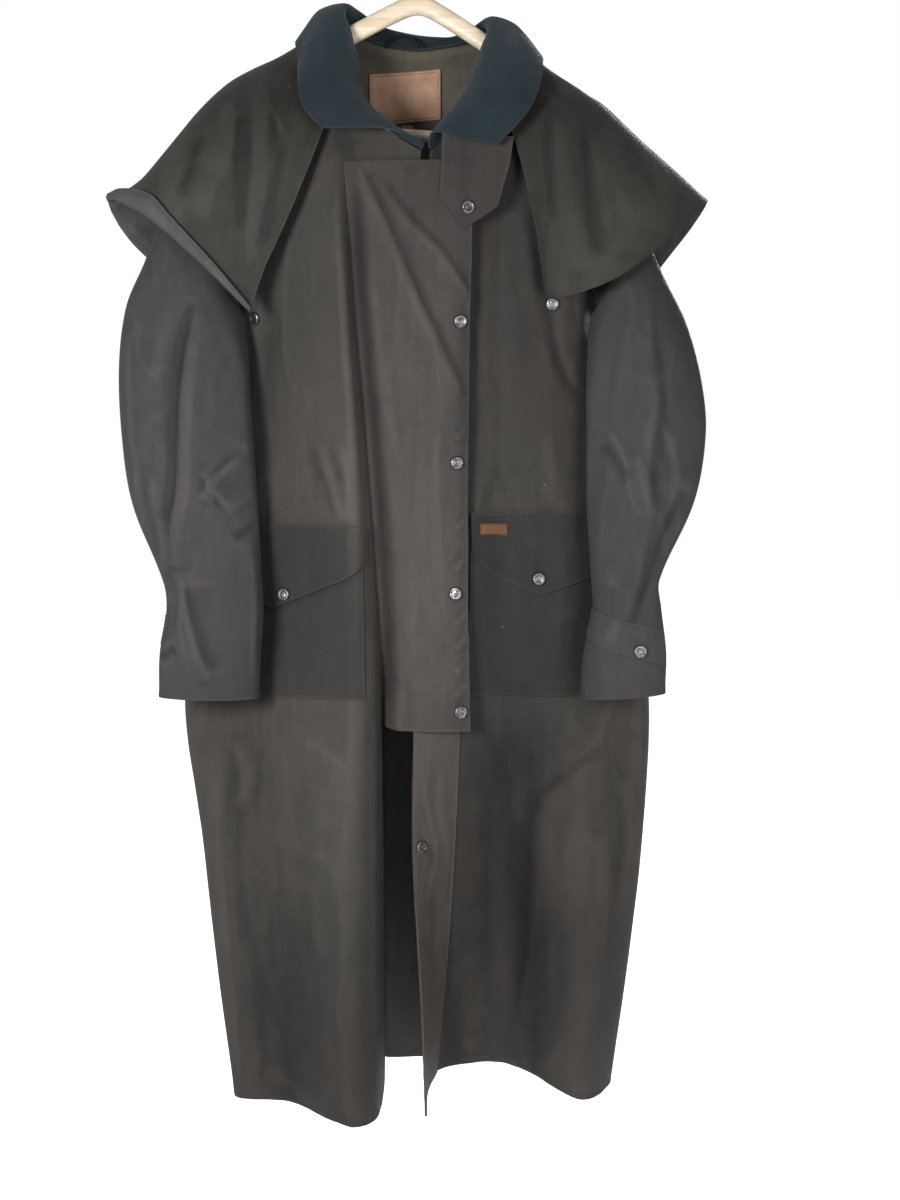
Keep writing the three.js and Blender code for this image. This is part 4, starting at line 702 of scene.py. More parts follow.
def make_collar():
    points, normals, off = neckline()
    places = spacing(points[:, None])
    places = places / places[-1]
    table_places = np.array([r["place"] for r in COLLAR])
    table = np.array([[r["roll"], r["fall"], r["edge"]] for r in COLLAR], float)
    columns = []
    for point, normal, away, place in zip(points, normals, off, places):
        i = min(int(np.searchsorted(table_places, place, side="right")) - 1, len(COLLAR) - 2)
        index = i + (place - table_places[i]) / (table_places[i + 1] - table_places[i])
        seam = point + away * COLLAR_SEAM_LIFT
        stand = point + away * COLLAR_STAND + normal * COLLAR_STAND * COLLAR_LEAN
        stations = np.concatenate([[seam, stand], curve_at(table, table_places, index)[0]])
        columns.append(curve_at(stations, spacing(stations[:, None]), COLLAR_DOWN))
    grid = np.array(columns).swapaxes(0, 1)
    hosts = (right_cape_turned, back_cape, left_cape, right_front, left_front)
    fall = stand_off(grid[FALL_FROM:], hosts, COLLAR_CLEAR)
    return Cloth(np.concatenate([grid[:FALL_FROM], fall]), (0, 0, -260))


collar = make_collar()
under_collar = Cloth(
    collar.points[FALL_FROM + 1 : -1] - collar.normals[FALL_FROM + 1 : -1] * UNDER_LIFT, (0, 0, -260)
)

# Closure
FLY_LIFT = CLOTH + SEAM_GAP
LAID = CLOTH + SEAM_GAP + 0.25
STORM_DOWN = [0, 1, 2, 2.5, 3, 3.5, 4, 4.5, 5, 5.5, 6]


def make_fly_strip():
    """The strip that carries the last snap, along the edge of the wearer's left front."""
    first_row, first_column = nearest_place(FRONT_DOWN, 2), nearest_place(FRONT_ACROSS, 4)
    host = left_front.part(slice(first_row, None), slice(first_column, None))
    return Cloth(host.points + host.normals * FLY_LIFT, SPINE)


def make_storm_flap():
    """Sewn to the wearer's right front along its seam, and lapped over the left front."""
    rows = [[(*r[k], r["z"]) for k in ("seam", "inner", "outer", "edge")] for r in STORM_FLAP]
    grid = loft(rows)(STORM_DOWN, steps(0, 3, 0.5))
    for line in grid:
        line[0] = right_front.lifted(*right_front.find(line[0][0], line[0][2]), LAID)
    return Cloth(stand_off(grid, (right_front, left_front, fly_strip), LAID), SPINE)


fly_strip = make_fly_strip()
storm_flap = make_storm_flap()
throat_tab = Cloth(stand_off(THROAT_TAB, (storm_flap,), LAID), SPINE)

# Fine cloths
HEM_LINES = (0.8, 2.6, 5.0, 6.4, 7.8, 10.5)  # closer lines beside a stitched hem, from its edge
STITCH_IN = 6.4  # how far inside the edge the stitching runs
STITCH_STEP = 3.6  # from one stitch to the next


def close_places(knots, step, hem_first, hem_last):
    """Fractional places along a cloth, about a step apart, with closer ones beside its hems."""
    length = knots[-1]
    lines = list(np.linspace(0, length, max(3, round(length / step) + 1)))
    extra = [d for d in HEM_LINES if hem_first] + [length - d for d in HEM_LINES if hem_last]
    lines = [v for v in lines if v in (0, length) or all(abs(v - e) > step * 0.35 for e in extra)]
    lines = np.array(sorted({*lines, *extra}))
    return np.interp(lines, knots, np.arange(len(knots)))


class FineCloth(Cloth):
    """A cloth as a fine grid through the same points, which knows how far its edges are."""

    def __init__(self, coarse, step=6, hems=(), straight=False):
        down, across = spacing(coarse.points), spacing(coarse.points.swapaxes(0, 1))
        self.downs = close_places(down, step, "top" in hems, "bottom" in hems)
        self.acrosses = close_places(across, step, "first" in hems, "last" in hems)
        if straight:
            r, c = np.meshgrid(self.downs, self.acrosses, indexing="ij")
            grid = coarse.at(r, c)[0]
        else:
            grid = curve_at(coarse.points, down, self.downs)
            grid = curve_at(grid.swapaxes(0, 1), across, self.acrosses).swapaxes(0, 1)
        super().__init__(grid, normals=np.zeros_like(grid))
        self.turn_like(coarse)
        self.hems = hems
        self.measure()

    def turn_like(self, coarse):
        fresh = self.find_normals((0, 0, 0))
        r, c = np.meshgrid(self.downs, self.acrosses, indexing="ij")
        same = (fresh * coarse.at(r, c)[1]).sum()
        self.normals = fresh if same > 0 else -fresh

    def measure(self):
        """Distances along the cloth from its edges, and those from its nearest hem."""
        p = self.points
        across = np.linalg.norm(np.diff(p, axis=1), axis=-1)
        down = np.linalg.norm(np.diff(p, axis=0), axis=-1)
        self.from_first = np.pad(across.cumsum(axis=1), ((0, 0), (1, 0)))
        self.from_top = np.pad(down.cumsum(axis=0), ((1, 0), (0, 0)))
        self.from_last = self.from_first[:, -1:] - self.from_first
        self.from_bottom = self.from_top[-1:] - self.from_top
        edges = dict(
            first=self.from_first, last=self.from_last, top=self.from_top, bottom=self.from_bottom
        )
        self.hem_distance = np.full(p.shape[:2], 200.0)
        for name in self.hems:
            self.hem_distance = np.minimum(self.hem_distance, edges[name])

    def raise_by(self, height, way=None):
        """Moves the points out by a height that changes over the cloth."""
        direction = self.normals if way is None else np.array(way, float)
        self.points = self.points + direction * height[..., None]
        fresh = self.find_normals((0, 0, 0))
        self.normals = fresh if (fresh * self.normals).sum() > 0 else -fresh

    def place(self, row, column):
        """A fractional place of the coarse cloth as one of the fine cloth."""
        return (
            np.interp(row, self.downs, np.arange(self.rows)),
            np.interp(column, self.acrosses, np.arange(self.columns)),
        )


FRONT = (0, -1, 0)
GROOVE = 0.35  # depth of a stitch line in the cloth
TURNED = 0.45  # what the turned cloth adds to a hem
HEM_REACH = 60


def hem_relief(cloth, pucker=0.5):
    """A turned hem: thicker at the edge, drawn in along its stitching, with small puckers."""
    d = cloth.hem_distance
    wave = soft_noise(cloth.from_first, cloth.from_top, 11.0, 5)
    fade = np.exp(-((np.maximum(d - STITCH_IN, 0) / 9.0) ** 2))
    turned = TURNED / (1 + np.exp((d - STITCH_IN - 1.5) * 1.6))
    groove = -GROOVE * np.exp(-(((d - STITCH_IN) / 1.1) ** 2))
    return np.where(d < HEM_REACH, turned + groove + pucker * wave * fade, 0)


# Folds and rumples
def soft_noise(x, z, size, seed):
    """Smooth noise between -1 and 1 over a plane, with lumps of a given size."""
    lattice = np.random.default_rng(seed).uniform(-1, 1, (97, 97))
    u, v = np.asarray(x) / size + 31.4, np.asarray(z) / size + 47.7
    i, j = np.floor(u).astype(int), np.floor(v).astype(int)
    s, t = u - i, v - j
    s, t = s * s * (3 - 2 * s), t * t * (3 - 2 * t)
    a, b = lattice[i % 97, j % 97], lattice[(i + 1) % 97, j % 97]
    c, d = lattice[i % 97, (j + 1) % 97], lattice[(i + 1) % 97, (j + 1) % 97]
    return (a * (1 - s) + b * s) * (1 - t) + (c * (1 - s) + d * s) * t


def creased_noise(x, z, size, seed):
    """Noise with sharp ridges, as in a cloth that has been crushed, between 0 and 1."""
    warp = soft_noise(x, z, size * 1.7, seed + 1) * size * 0.6
    return (1 - np.abs(soft_noise(x + warp, z - warp, size, seed))) ** 3


def fold(x, z, path, height, width, sharp=0.0):
    """Height of a fold that runs along a path of (x, z) points and fades out at both ends.

    A positive sharp makes its right-hand side steeper, a negative one its left-hand side.
    """
    path = np.asarray(path, float)
    knots = spacing(path[:, None])
    line = curve_at(path, knots, np.linspace(0, len(path) - 1, 8 * len(path)))
    run = spacing(line[:, None])
    best, along, side = np.full(np.shape(x), 1e9), np.zeros(np.shape(x)), np.zeros(np.shape(x))
    for k in range(len(line) - 1):
        a, ab = line[k], line[k + 1] - line[k]
        t = np.clip(((x - a[0]) * ab[0] + (z - a[1]) * ab[1]) / (ab @ ab), 0, 1)
        dx, dz = x - a[0] - ab[0] * t, z - a[1] - ab[1] * t
        far = np.hypot(dx, dz)
        near = far < best
        best = np.where(near, far, best)
        along = np.where(near, (run[k] + t * (run[k + 1] - run[k])) / run[-1], along)
        side = np.where(near, np.sign(ab[0] * dz - ab[1] * dx), side)
    wide = width * np.where(side * sharp < 0, 1 - abs(sharp), 1)
    fade = np.clip(np.minimum(along, 1 - along) * 4, 0, 1)
    return height * fade * (2 - fade) * np.exp(-((best / wide) ** 2))


def folds(x, z, table):
    return sum(fold(x, z, f["path"], f["height"], f["width"], f.get("sharp", 0)) for f in table)


# Meshes
def fold_shade(cloth):
    """How far each point stands out of the cloth round it: over 0 on a ridge, under 0 in a valley."""
    p, total = cloth.points, 0
    for reach, share in ((1, 0.9), (3, 0.35)):
        wide = np.pad(p, ((reach, reach), (reach, reach), (0, 0)), mode="edge")
        around = sum(
            wide[reach + a : reach + a + cloth.rows, reach + b : reach + b + cloth.columns]
            for a, b in ((-reach, 0), (reach, 0), (0, -reach), (0, reach))
        )
        out = ((p - around / 4) * cloth.normals).sum(axis=-1)
        inside = np.zeros(out.shape)
        inside[reach:-reach, reach:-reach] = out[reach:-reach, reach:-reach]
        total = total + share * inside
    return np.clip(total, -1.5, 1.5)


# Where the dressing is rubbed paler or has stayed darker, and painted light and shade (darker shoulders,
# skirts and sleeve, and the painted shadow by the storm flap's edge): middle x and z, reach in x and z, and
# share.
WEAR_AND_PAINTED_SHADE_SPOTS = (
    (15, -800, 45, 170, 0.32), (-75, -690, 20, 130, 0.25), (-95, -1050, 60, 130, 0.1),
    (-130, -1350, 130, 170, -0.4), (110, -1230, 60, 220, -0.5), (190, -1250, 90, 190, -0.3),
    (130, -1000, 70, 70, -0.4), (-170, -250, 90, 80, -0.34), (200, -260, 90, 100, -0.34),
    (10, -350, 95, 70, -0.3), (120, -500, 60, 180, -0.42), (330, -450, 70, 130, -0.3),
    (-120, -500, 60, 100, -0.14), (54, -640, 10, 300, -0.26), (150, -860, 70, 90, -0.2),
    (-190, -860, 60, 90, -0.12), (-215, -1000, 40, 140, -0.2),
)

# The same for where its brown leans to a cooler grey.
COOLS = (
    (-200, -400, 110, 180, 0.4), (52, -620, 12, 300, 0.5), (-130, -1200, 110, 120, 0.2),
    (210, -700, 60, 200, 0.2), (-10, -760, 60, 170, -0.5), (-100, -760, 60, 160, -0.4),
    (190, -330, 80, 90, -0.3), (-60, -460, 50, 90, -0.2),
)


# Painted shade down the pleat just inside the storm flap's seam: how much darker, where and how wide.
PLEAT_SHADE = dict(share=0.38, inside=9, width=9)
DARKEST = 0.3


def on_the_front(cloth):
    """From 0 at the side seams and behind them to 1 on the coat's front."""
    return smooth_step(-cloth.points[..., 1] / 40)


def spots_on(cloth, table):
    x, z = cloth.points[..., 0], cloth.points[..., 2]
    spots = sum(v * np.exp(-(((x - a) / c) ** 2) - ((z - b) / d) ** 2) for a, b, c, d, v in table)
    return spots * on_the_front(cloth)


# Painted shade and wear: the spots, the painted shade down the pleat beside the storm flap, and the painted
# shadow of any piece that lies over the cloth.
def painted_shade_and_wear_of(cloth):
    x, z = cloth.points[..., 0], cloth.points[..., 2]
    pleat = np.exp(-(((beside_flap(x, z) - PLEAT_SHADE["inside"]) / PLEAT_SHADE["width"]) ** 2))
    pleat = pleat * pleat_fade(z) * on_the_front(cloth)
    painted_shade_and_wear = 1 + spots_on(cloth, WEAR_AND_PAINTED_SHADE_SPOTS) - PLEAT_SHADE["share"] * pleat - cloth.painted_shadow
    return np.maximum(painted_shade_and_wear, DARKEST)


def grid_faces(rows, columns, offset=0, flip=False):
    i, j = np.meshgrid(np.arange(rows - 1), np.arange(columns - 1), indexing="ij")
    a = (i * columns + j).ravel() + offset
    quads = np.stack([a, a + columns, a + columns + 1, a + 1], axis=1)
    return quads[:, ::-1] if flip else quads


def make_object(name, points, faces, materials, smooth=True):
    mesh = bpy.data.meshes.new(name)
    mesh.from_pydata((np.asarray(points) * MM).tolist(), [], [list(map(int, f)) for f in faces])
    mesh.validate()
    for material in materials:
        mesh.materials.append(material)
    if smooth:
        mesh.shade_smooth()
    obj = bpy.data.objects.new(name, mesh)
    bpy.context.scene.collection.objects.link(obj)
    return obj


def cloth_mesh(name, cloth, materials, thickness=CLOTH, limit=None):
    """A closed wall of cloth, with its measures as UVs and its folds and edges as attributes."""
    rows, columns = cloth.rows, cloth.columns
    half = cloth.normals * thickness / 2
    outer, inner = cloth.points + half, cloth.points - half
    points = np.concatenate([outer.reshape(-1, 3), inner.reshape(-1, 3)])
    if limit is not None:
        points = limit(points)
    count = rows * columns
    turn = np.cross(outer[1, 0] - outer[0, 0], outer[0, 1] - outer[0, 0]) @ cloth.normals[0, 0] < 0
    faces = [grid_faces(rows, columns, 0, turn), grid_faces(rows, columns, count, not turn)]
    ring = [
        *range(columns),
        *range(2 * columns - 1, count, columns),
        *range(count - 2, count - columns - 1, -1),
        *range(count - 2 * columns, 0, -columns),
    ]
    ring = np.array(ring)
    following = np.roll(ring, -1)
    rim = np.stack([ring, following, following + count, ring + count], axis=1)
    faces.append(rim if turn else rim[:, ::-1])
    obj = make_object(name, points, np.concatenate(faces), materials)
    mesh = obj.data
    inner_slot = len(materials) - 1
    slots = np.zeros(len(mesh.polygons), int)
    slots[len(faces[0]) : len(faces[0]) + len(faces[1])] = inner_slot
    mesh.polygons.foreach_set("material_index", slots)
    measure = np.stack([cloth.from_first, cloth.from_top], axis=-1).reshape(-1, 2) * MM
    measure = np.concatenate([measure, measure])
    corners = np.zeros(len(mesh.loops), int)
    mesh.loops.foreach_get("vertex_index", corners)
    mesh.uv_layers.new(name="measure").data.foreach_set("uv", measure[corners].ravel())
    shades = (("fold", fold_shade(cloth), -1), ("hem", cloth.hem_distance, 1), ("painted_shade_and_wear", painted_shade_and_wear_of(cloth), 1),
              ("cool", spots_on(cloth, COOLS), 1))
    for attribute, grid, sign in shades:
        layer = mesh.attributes.new(attribute, "FLOAT", "POINT")
        layer.data.foreach_set("value", np.concatenate([grid.ravel(), sign * grid.ravel()]))
    return obj


def one_side_area(cloth):
    p = cloth.points
    a, b = p[1:, 1:] - p[:-1, :-1], p[1:, :-1] - p[:-1, 1:]
    return float(np.linalg.norm(np.cross(a, b), axis=-1).sum() / 2) * MM**2


def dress(name, cloth, nodes, materials, thickness=CLOTH, limit=None):
    """Makes a piece of cloth and hides the solids that it stands for. It works out the cut's width, length
    and area, and leaves them unused.
    """
    obj = cloth_mesh(name, cloth, materials, thickness, limit)
    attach(obj, BODY)
    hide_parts(*nodes)
    width = float(cloth.from_first[:, -1].max()) * MM
    length = float(cloth.from_top[-1].max()) * MM
    area = min(one_side_area(cloth), width * length)
    return obj


# Finishes
def srgb(*values):
    """A colour as it is seen, from 0 to 255, as the light it sends back."""
    shares = [v / 255 for v in values]
    return (*[v / 12.92 if v <= 0.04045 else ((v + 0.055) / 1.055) ** 2.4 for v in shares], 1)


class Nodes:
    """Adds nodes to a tree and joins them by the names of their sockets."""

    def __init__(self, tree):
        self.tree = tree

    def add(self, kind, inputs=None, **settings):
        node = self.tree.nodes.new("ShaderNode" + kind)
        for name, value in settings.items():
            setattr(node, name, value)
        for name, value in (inputs or {}).items():
            self.put(node.inputs[name], value)
        return node

    def put(self, socket, value):
        if isinstance(value, bpy.types.NodeSocket):
            self.tree.links.new(value, socket)
        else:
            socket.default_value = value

    def sum(self, operation, a, b, clamp=False):
        node = self.add("Math", operation=operation, use_clamp=clamp)
        self.put(node.inputs[0], a)
        self.put(node.inputs[1], b)
        return node.outputs[0]

    def mix(self, share, a, b, blend="MIX"):
        node = self.add("Mix", data_type="RGBA", blend_type=blend)
        self.put(node.inputs["Factor"], share)
        self.put(node.inputs[6], a)
        self.put(node.inputs[7], b)
        return node.outputs[2]

    def band(self, value, low, high, to_low=0.0, to_high=1.0):
        """A value spread from low..high to another range, smoothly and within its ends."""
        node = self.add("MapRange", interpolation_type="SMOOTHSTEP")
        for name, v in zip(("Value", "From Min", "From Max", "To Min", "To Max"),
                           (value, low, high, to_low, to_high)):
            self.put(node.inputs[name], v)
        return node.outputs["Result"]

    def noise(self, where, scale, detail=3, rough=0.55):
        node = self.add("TexNoise", {"Vector": where, "Scale": scale, "Detail": detail, "Roughness": rough})
        return node.outputs["Fac"]


def new_group(name, inputs, outputs):
    group = bpy.data.node_groups.new(name, "ShaderNodeTree")
    for label, kind, value in inputs:
        socket = group.interface.new_socket(name=label, in_out="INPUT", socket_type="NodeSocket" + kind)
        socket.default_value = value
    for label, kind in outputs:
        group.interface.new_socket(name=label, in_out="OUTPUT", socket_type="NodeSocket" + kind)
    given, out = group.nodes.new("NodeGroupInput"), group.nodes.new("NodeGroupOutput")
    return group, Nodes(group), given.outputs, out.inputs


def use_group(nodes, group, values):
    """Places a node group with its own values, and gives its outputs."""
    node = nodes.tree.nodes.new("ShaderNodeGroup")
    node.node_tree = group
    for label, value in values.items():
        nodes.put(node.inputs[label], value)
    return node.outputs


def make_weave_group():
    """Plain weave from the cloth's own measures: the height of its threads."""
    group, n, given, out = new_group(
        "weave", [("Thread", "Float", 0.0009)], [("Height", "Float")]
    )
    measure = n.add("UVMap", uv_map="measure").outputs["UV"]
    split = n.add("SeparateXYZ", {"Vector": measure})
    waves = []
    for axis in ("X", "Y"):
        turns = n.sum("DIVIDE", split.outputs[axis], given["Thread"])
        waves.append(n.sum("SINE", n.sum("MULTIPLY", turns, 2 * math.pi), 0))
    n.put(out["Height"], n.sum("MULTIPLY", waves[0], waves[1]))
    return group


def make_waxed_group(weave):
    """Waxed cotton: clouded dressing, worn ridges and edges, painted shade in the valleys of its folds, the
    mesh's painted shade and wear, and stray lint.
    """
    group, n, given, out = new_group(
        "waxed face",
        [
            ("Colour", "Color", srgb(80, 76, 73)), ("Tint", "Color", srgb(70, 72, 64)),
            ("Worn", "Color", srgb(120, 116, 112)), ("Clouding", "Float", 0.6),
            ("Wear", "Float", 0.6), ("Lint", "Float", 1.0), ("Thread", "Float", 0.0009),
            ("Stitch", "Float", STITCH_IN), ("Second stitch", "Float", -9.0),
        ],
        [("Color", "Color"), ("Roughness", "Float"), ("Height", "Float")],
    )
    where = n.add("TexCoord").outputs["Object"]
    cloud = n.band(n.noise(where, 7.0, 3), 0.35, 0.65)
    blotch = n.noise(where, 46.0, 5, 0.62)
    grain = n.noise(where, 480.0, 3, 0.7)
    tall = n.add("Mapping", {"Vector": where, "Scale": (1.0, 1.0, 0.12)}).outputs["Vector"]
    streak = n.noise(tall, 110.0, 3, 0.6)
    cool = n.add("Attribute", attribute_name="cool").outputs["Fac"]
    cool = n.sum("ADD", n.sum("MULTIPLY", cloud, given["Clouding"]), cool, clamp=True)
    colour = n.mix(cool, given["Colour"], given["Tint"])
    shade = n.sum("ADD", n.band(blotch, 0.3, 0.7, -0.15, 0.15), n.band(grain, 0.25, 0.75, -0.3, 0.3))
    shade = n.sum("ADD", shade, n.band(streak, 0.3, 0.7, -0.16, 0.16))
    shade = n.sum("ADD", n.sum("MULTIPLY", shade, given["Clouding"]), 1.0)
    bright = n.add("CombineXYZ", {"X": shade, "Y": shade, "Z": shade}).outputs["Vector"]
    colour = n.mix(1.0, colour, bright, "MULTIPLY")
    fold = n.add("Attribute", attribute_name="fold").outputs["Fac"]
    hem = n.add("Attribute", attribute_name="hem").outputs["Fac"]
    patchy = n.band(n.noise(where, 18.0, 3, 0.6), 0.3, 0.7, 0.45, 1.0)
    ridge = n.sum("MULTIPLY", n.band(fold, 0.04, 0.7), 0.8)
    edge = n.band(hem, 0.2, 2.4, 1.0, 0.0)
    worn = n.sum("MULTIPLY", n.sum("MAXIMUM", ridge, edge), patchy)
    worn = n.sum("MULTIPLY", worn, given["Wear"], clamp=True)
    colour = n.mix(worn, colour, given["Worn"])
    # Painted shade: the cloth is darkened in the valleys of its folds.
    deep = n.sum("MULTIPLY", n.band(fold, -0.6, 0.0, 1.0, 0.0), 0.6)
    dark = n.mix(1.0, colour, (0.45, 0.46, 0.48, 1), "MULTIPLY")
    colour = n.mix(deep, colour, dark)
    measure = n.add("SeparateXYZ", {"Vector": n.add("UVMap", uv_map="measure").outputs["UV"]})
    run = n.sum("ADD", measure.outputs["X"], measure.outputs["Y"])
    dash = n.sum("SINE", n.sum("MULTIPLY", run, 2 * math.pi / (STITCH_STEP * MM)), 0)
    dash = n.band(dash, -0.5, 0.1)
    for place in ("Stitch", "Second stitch"):
        away = n.sum("ABSOLUTE", n.sum("SUBTRACT", hem, given[place]), 0)
        colour = n.mix(n.band(away, 0.5, 1.5, 0.5, 0.0), colour, dark)
        thread = n.sum("MULTIPLY", n.band(away, 0.3, 0.6, 0.6, 0.0), dash)
        colour = n.mix(thread, colour, given["Worn"])
    # The mesh's painted shade and wear darken or lighten the colour.
    painted_shade_and_wear = n.add("Attribute", attribute_name="painted_shade_and_wear").outputs["Fac"]
    painted_shade_and_wear_colour = n.add("CombineXYZ", {"X": painted_shade_and_wear, "Y": painted_shade_and_wear, "Z": painted_shade_and_wear}).outputs["Vector"]
    colour = n.mix(1.0, colour, painted_shade_and_wear_colour, "MULTIPLY")
    lint = n.add("TexVoronoi", {"Vector": where, "Scale": 60.0}, feature="F1")
    tiny = n.band(lint.outputs["Distance"], 0.02, 0.05, 1.0, 0.0)
    pick = n.add("SeparateColor", {"Color": lint.outputs["Color"]})
    tiny = n.sum("MULTIPLY", tiny, n.sum("GREATER_THAN", pick.outputs["Red"], 0.95))
    colour = n.mix(n.sum("MULTIPLY", tiny, given["Lint"], clamp=True), colour, srgb(140, 140, 134))
    n.put(out["Color"], colour)
    rough = n.sum("ADD", n.band(blotch, 0.3, 0.7, 0.5, 0.66), n.sum("MULTIPLY", worn, 0.12))
    n.put(out["Roughness"], rough)
    threads = use_group(n, weave, {"Thread": given["Thread"]})["Height"]
    height = n.sum("ADD", n.sum("MULTIPLY", threads, 0.25), n.sum("MULTIPLY", blotch, 2.2))
    n.put(out["Height"], n.sum("ADD", height, n.sum("MULTIPLY", grain, 0.5)))
    return group


WEAVE = make_weave_group()
WAXED = make_waxed_group(WEAVE)


def new_material(name):
    material = bpy.data.materials.new(name)
    material.use_nodes = True
    material.node_tree.nodes.clear()
    nodes = Nodes(material.node_tree)
    shader = nodes.add("BsdfPrincipled")
    nodes.put(nodes.add("OutputMaterial").inputs["Surface"], shader.outputs["BSDF"])
    return material, nodes, shader


def waxed_cotton(name, colour, tint, worn, lint=1.0, sheen=0.04, stitches=(STITCH_IN, -9.0)):
    material, nodes, shader = new_material(name)
    values = dict(Colour=colour, Tint=tint, Worn=worn, Clouding=0.5, Wear=0.45, Lint=lint)
    values["Stitch"], values["Second stitch"] = stitches  # a place under 0 leaves a line out
    face = use_group(nodes, WAXED, values)
    nodes.put(shader.inputs["Base Color"], face["Color"])
    nodes.put(shader.inputs["Roughness"], face["Roughness"])
    bump = nodes.add("Bump", {"Height": face["Height"], "Distance": 0.0006, "Strength": 0.55})
    nodes.put(shader.inputs["Normal"], bump.outputs["Normal"])
    shader.inputs["Specular IOR Level"].default_value = 0.2
    shader.inputs["Sheen Weight"].default_value = sheen
    shader.inputs["Sheen Roughness"].default_value = 0.5
    return material


def leather(name, light, dark, stitch):
    """Plain tan leather with a fine grain, darker edges and a stitched border."""
    material, nodes, shader = new_material(name)
    where = nodes.add("TexCoord").outputs["Object"]
    cloud, grain = nodes.noise(where, 60.0, 4), nodes.noise(where, 900.0, 3, 0.7)
    hem = nodes.add("Attribute", attribute_name="hem").outputs["Fac"]
    colour = nodes.mix(nodes.band(cloud, 0.3, 0.7), light, dark)
    colour = nodes.mix(nodes.band(grain, 0.5, 0.75, 0, 0.35), colour, srgb(78, 58, 46))
    colour = nodes.mix(nodes.band(hem, 0.3, 2.2, 0.55, 0.0), colour, srgb(66, 48, 38))
    away = nodes.sum("ABSOLUTE", nodes.sum("SUBTRACT", hem, stitch), 0)
    colour = nodes.mix(nodes.band(away, 0.2, 0.8, 0.6, 0.0), colour, srgb(60, 44, 36))
    shader.inputs["Specular IOR Level"].default_value = 0.15
    nodes.put(shader.inputs["Base Color"], colour)
    nodes.put(shader.inputs["Roughness"], nodes.band(cloud, 0.3, 0.7, 0.55, 0.7))
    bump = nodes.add("Bump", {"Height": grain, "Distance": 0.0003, "Strength": 0.6})
    nodes.put(shader.inputs["Normal"], bump.outputs["Normal"])
    return material


def wood(name):
    """Pale lacquered wood, with its grain along the hanger."""
    material, nodes, shader = new_material(name)
    where = nodes.add("TexCoord").outputs["Object"]
    along = nodes.add("Mapping", {"Vector": where, "Scale": (5.0, 90.0, 90.0)}).outputs["Vector"]
    grain, pores = nodes.noise(along, 1.6, 5, 0.6), nodes.noise(along, 9.0, 2, 0.6)
    colour = nodes.mix(nodes.band(grain, 0.3, 0.7), srgb(222, 208, 186), srgb(196, 176, 148))
    colour = nodes.mix(nodes.band(pores, 0.62, 0.8, 0, 0.35), colour, srgb(150, 126, 98))
    nodes.put(shader.inputs["Base Color"], colour)
    nodes.put(shader.inputs["Roughness"], nodes.band(grain, 0.3, 0.7, 0.32, 0.45))
    bump = nodes.add("Bump", {"Height": pores, "Distance": 0.0002, "Strength": 0.4})
    nodes.put(shader.inputs["Normal"], bump.outputs["Normal"])
    shader.inputs["Coat Weight"].default_value = 0.3
    return material


def metal(name, bright, dull, rough, spread):
    """Metal with a clouded, slightly scratched face."""
    material, nodes, shader = new_material(name)
    where = nodes.add("TexCoord").outputs["Object"]
    cloud, scratch = nodes.noise(where, 260.0, 4, 0.6), nodes.noise(where, 1400.0, 2, 0.7)
    colour = nodes.mix(nodes.band(cloud, 0.35, 0.65), bright, dull)
    nodes.put(shader.inputs["Base Color"], colour)
    nodes.put(shader.inputs["Roughness"], nodes.band(cloud, 0.3, 0.7, rough, rough + spread))
    bump = nodes.add("Bump", {"Height": scratch, "Distance": 0.0001, "Strength": 0.3})
    nodes.put(shader.inputs["Normal"], bump.outputs["Normal"])
    shader.inputs["Metallic"].default_value = 1.0
    return material


LOOKS = dict(
    body=waxed_cotton("waxed body", srgb(58, 54, 51), srgb(48, 48, 45), srgb(86, 80, 76)),
    flap=waxed_cotton("waxed flap", srgb(59, 54, 52), srgb(48, 47, 45), srgb(90, 84, 80), stitches=(19, 3)),
    cape=waxed_cotton("waxed cape", srgb(46, 44, 40), srgb(40, 40, 37), srgb(76, 73, 68), stitches=(9, 6)),
    turned=waxed_cotton(
        "turned-up hem", srgb(64, 62, 61), srgb(58, 58, 57), srgb(92, 89, 88), stitches=(9, 4)
    ),
    sleeve=waxed_cotton("waxed sleeve", srgb(57, 54, 54), srgb(50, 49, 48), srgb(84, 81, 80)),
    pocket=waxed_cotton(
        "waxed pocket", srgb(42, 40, 38), srgb(37, 37, 36), srgb(74, 70, 66), stitches=(3, 8)
    ),
    strip=waxed_cotton("waxed strip", srgb(74, 68, 64), srgb(64, 61, 57), srgb(94, 88, 84)),
    inside=waxed_cotton("waxed inside", srgb(88, 85, 82), srgb(74, 74, 73), srgb(98, 96, 94), lint=0.3),
    lining=waxed_cotton("yoke lining", srgb(86, 80, 69), srgb(74, 71, 60), srgb(100, 92, 78), lint=0.3),
    cord=waxed_cotton("collar cord", srgb(21, 37, 45), srgb(17, 31, 38), srgb(42, 60, 68), sheen=0.1),
    loop=waxed_cotton("hanging loop", srgb(40, 47, 50), srgb(34, 42, 44), srgb(66, 74, 74), lint=0.2),
    # The neck label's and size tab's leather is paler than the tag's, and set lighter still as painted
    # light against the shade under the collar.
    leather=leather("label leather", srgb(172, 138, 116), srgb(152, 120, 98), 3.5),
    tag=leather("tag leather", srgb(112, 76, 56), srgb(92, 62, 46), 1.6),
    wood=wood("hanger wood"),
    snap=metal("antiqued snap", srgb(130, 127, 131), srgb(74, 70, 72), 0.34, 0.2),
    wire=metal("hook wire", srgb(200, 200, 204), srgb(170, 170, 176), 0.16, 0.12),
)


def both_sides(name):
    """The looks of a cloth's outer side and of its inside."""
    return LOOKS[name], LOOKS["inside"]


SKIN = both_sides("body")

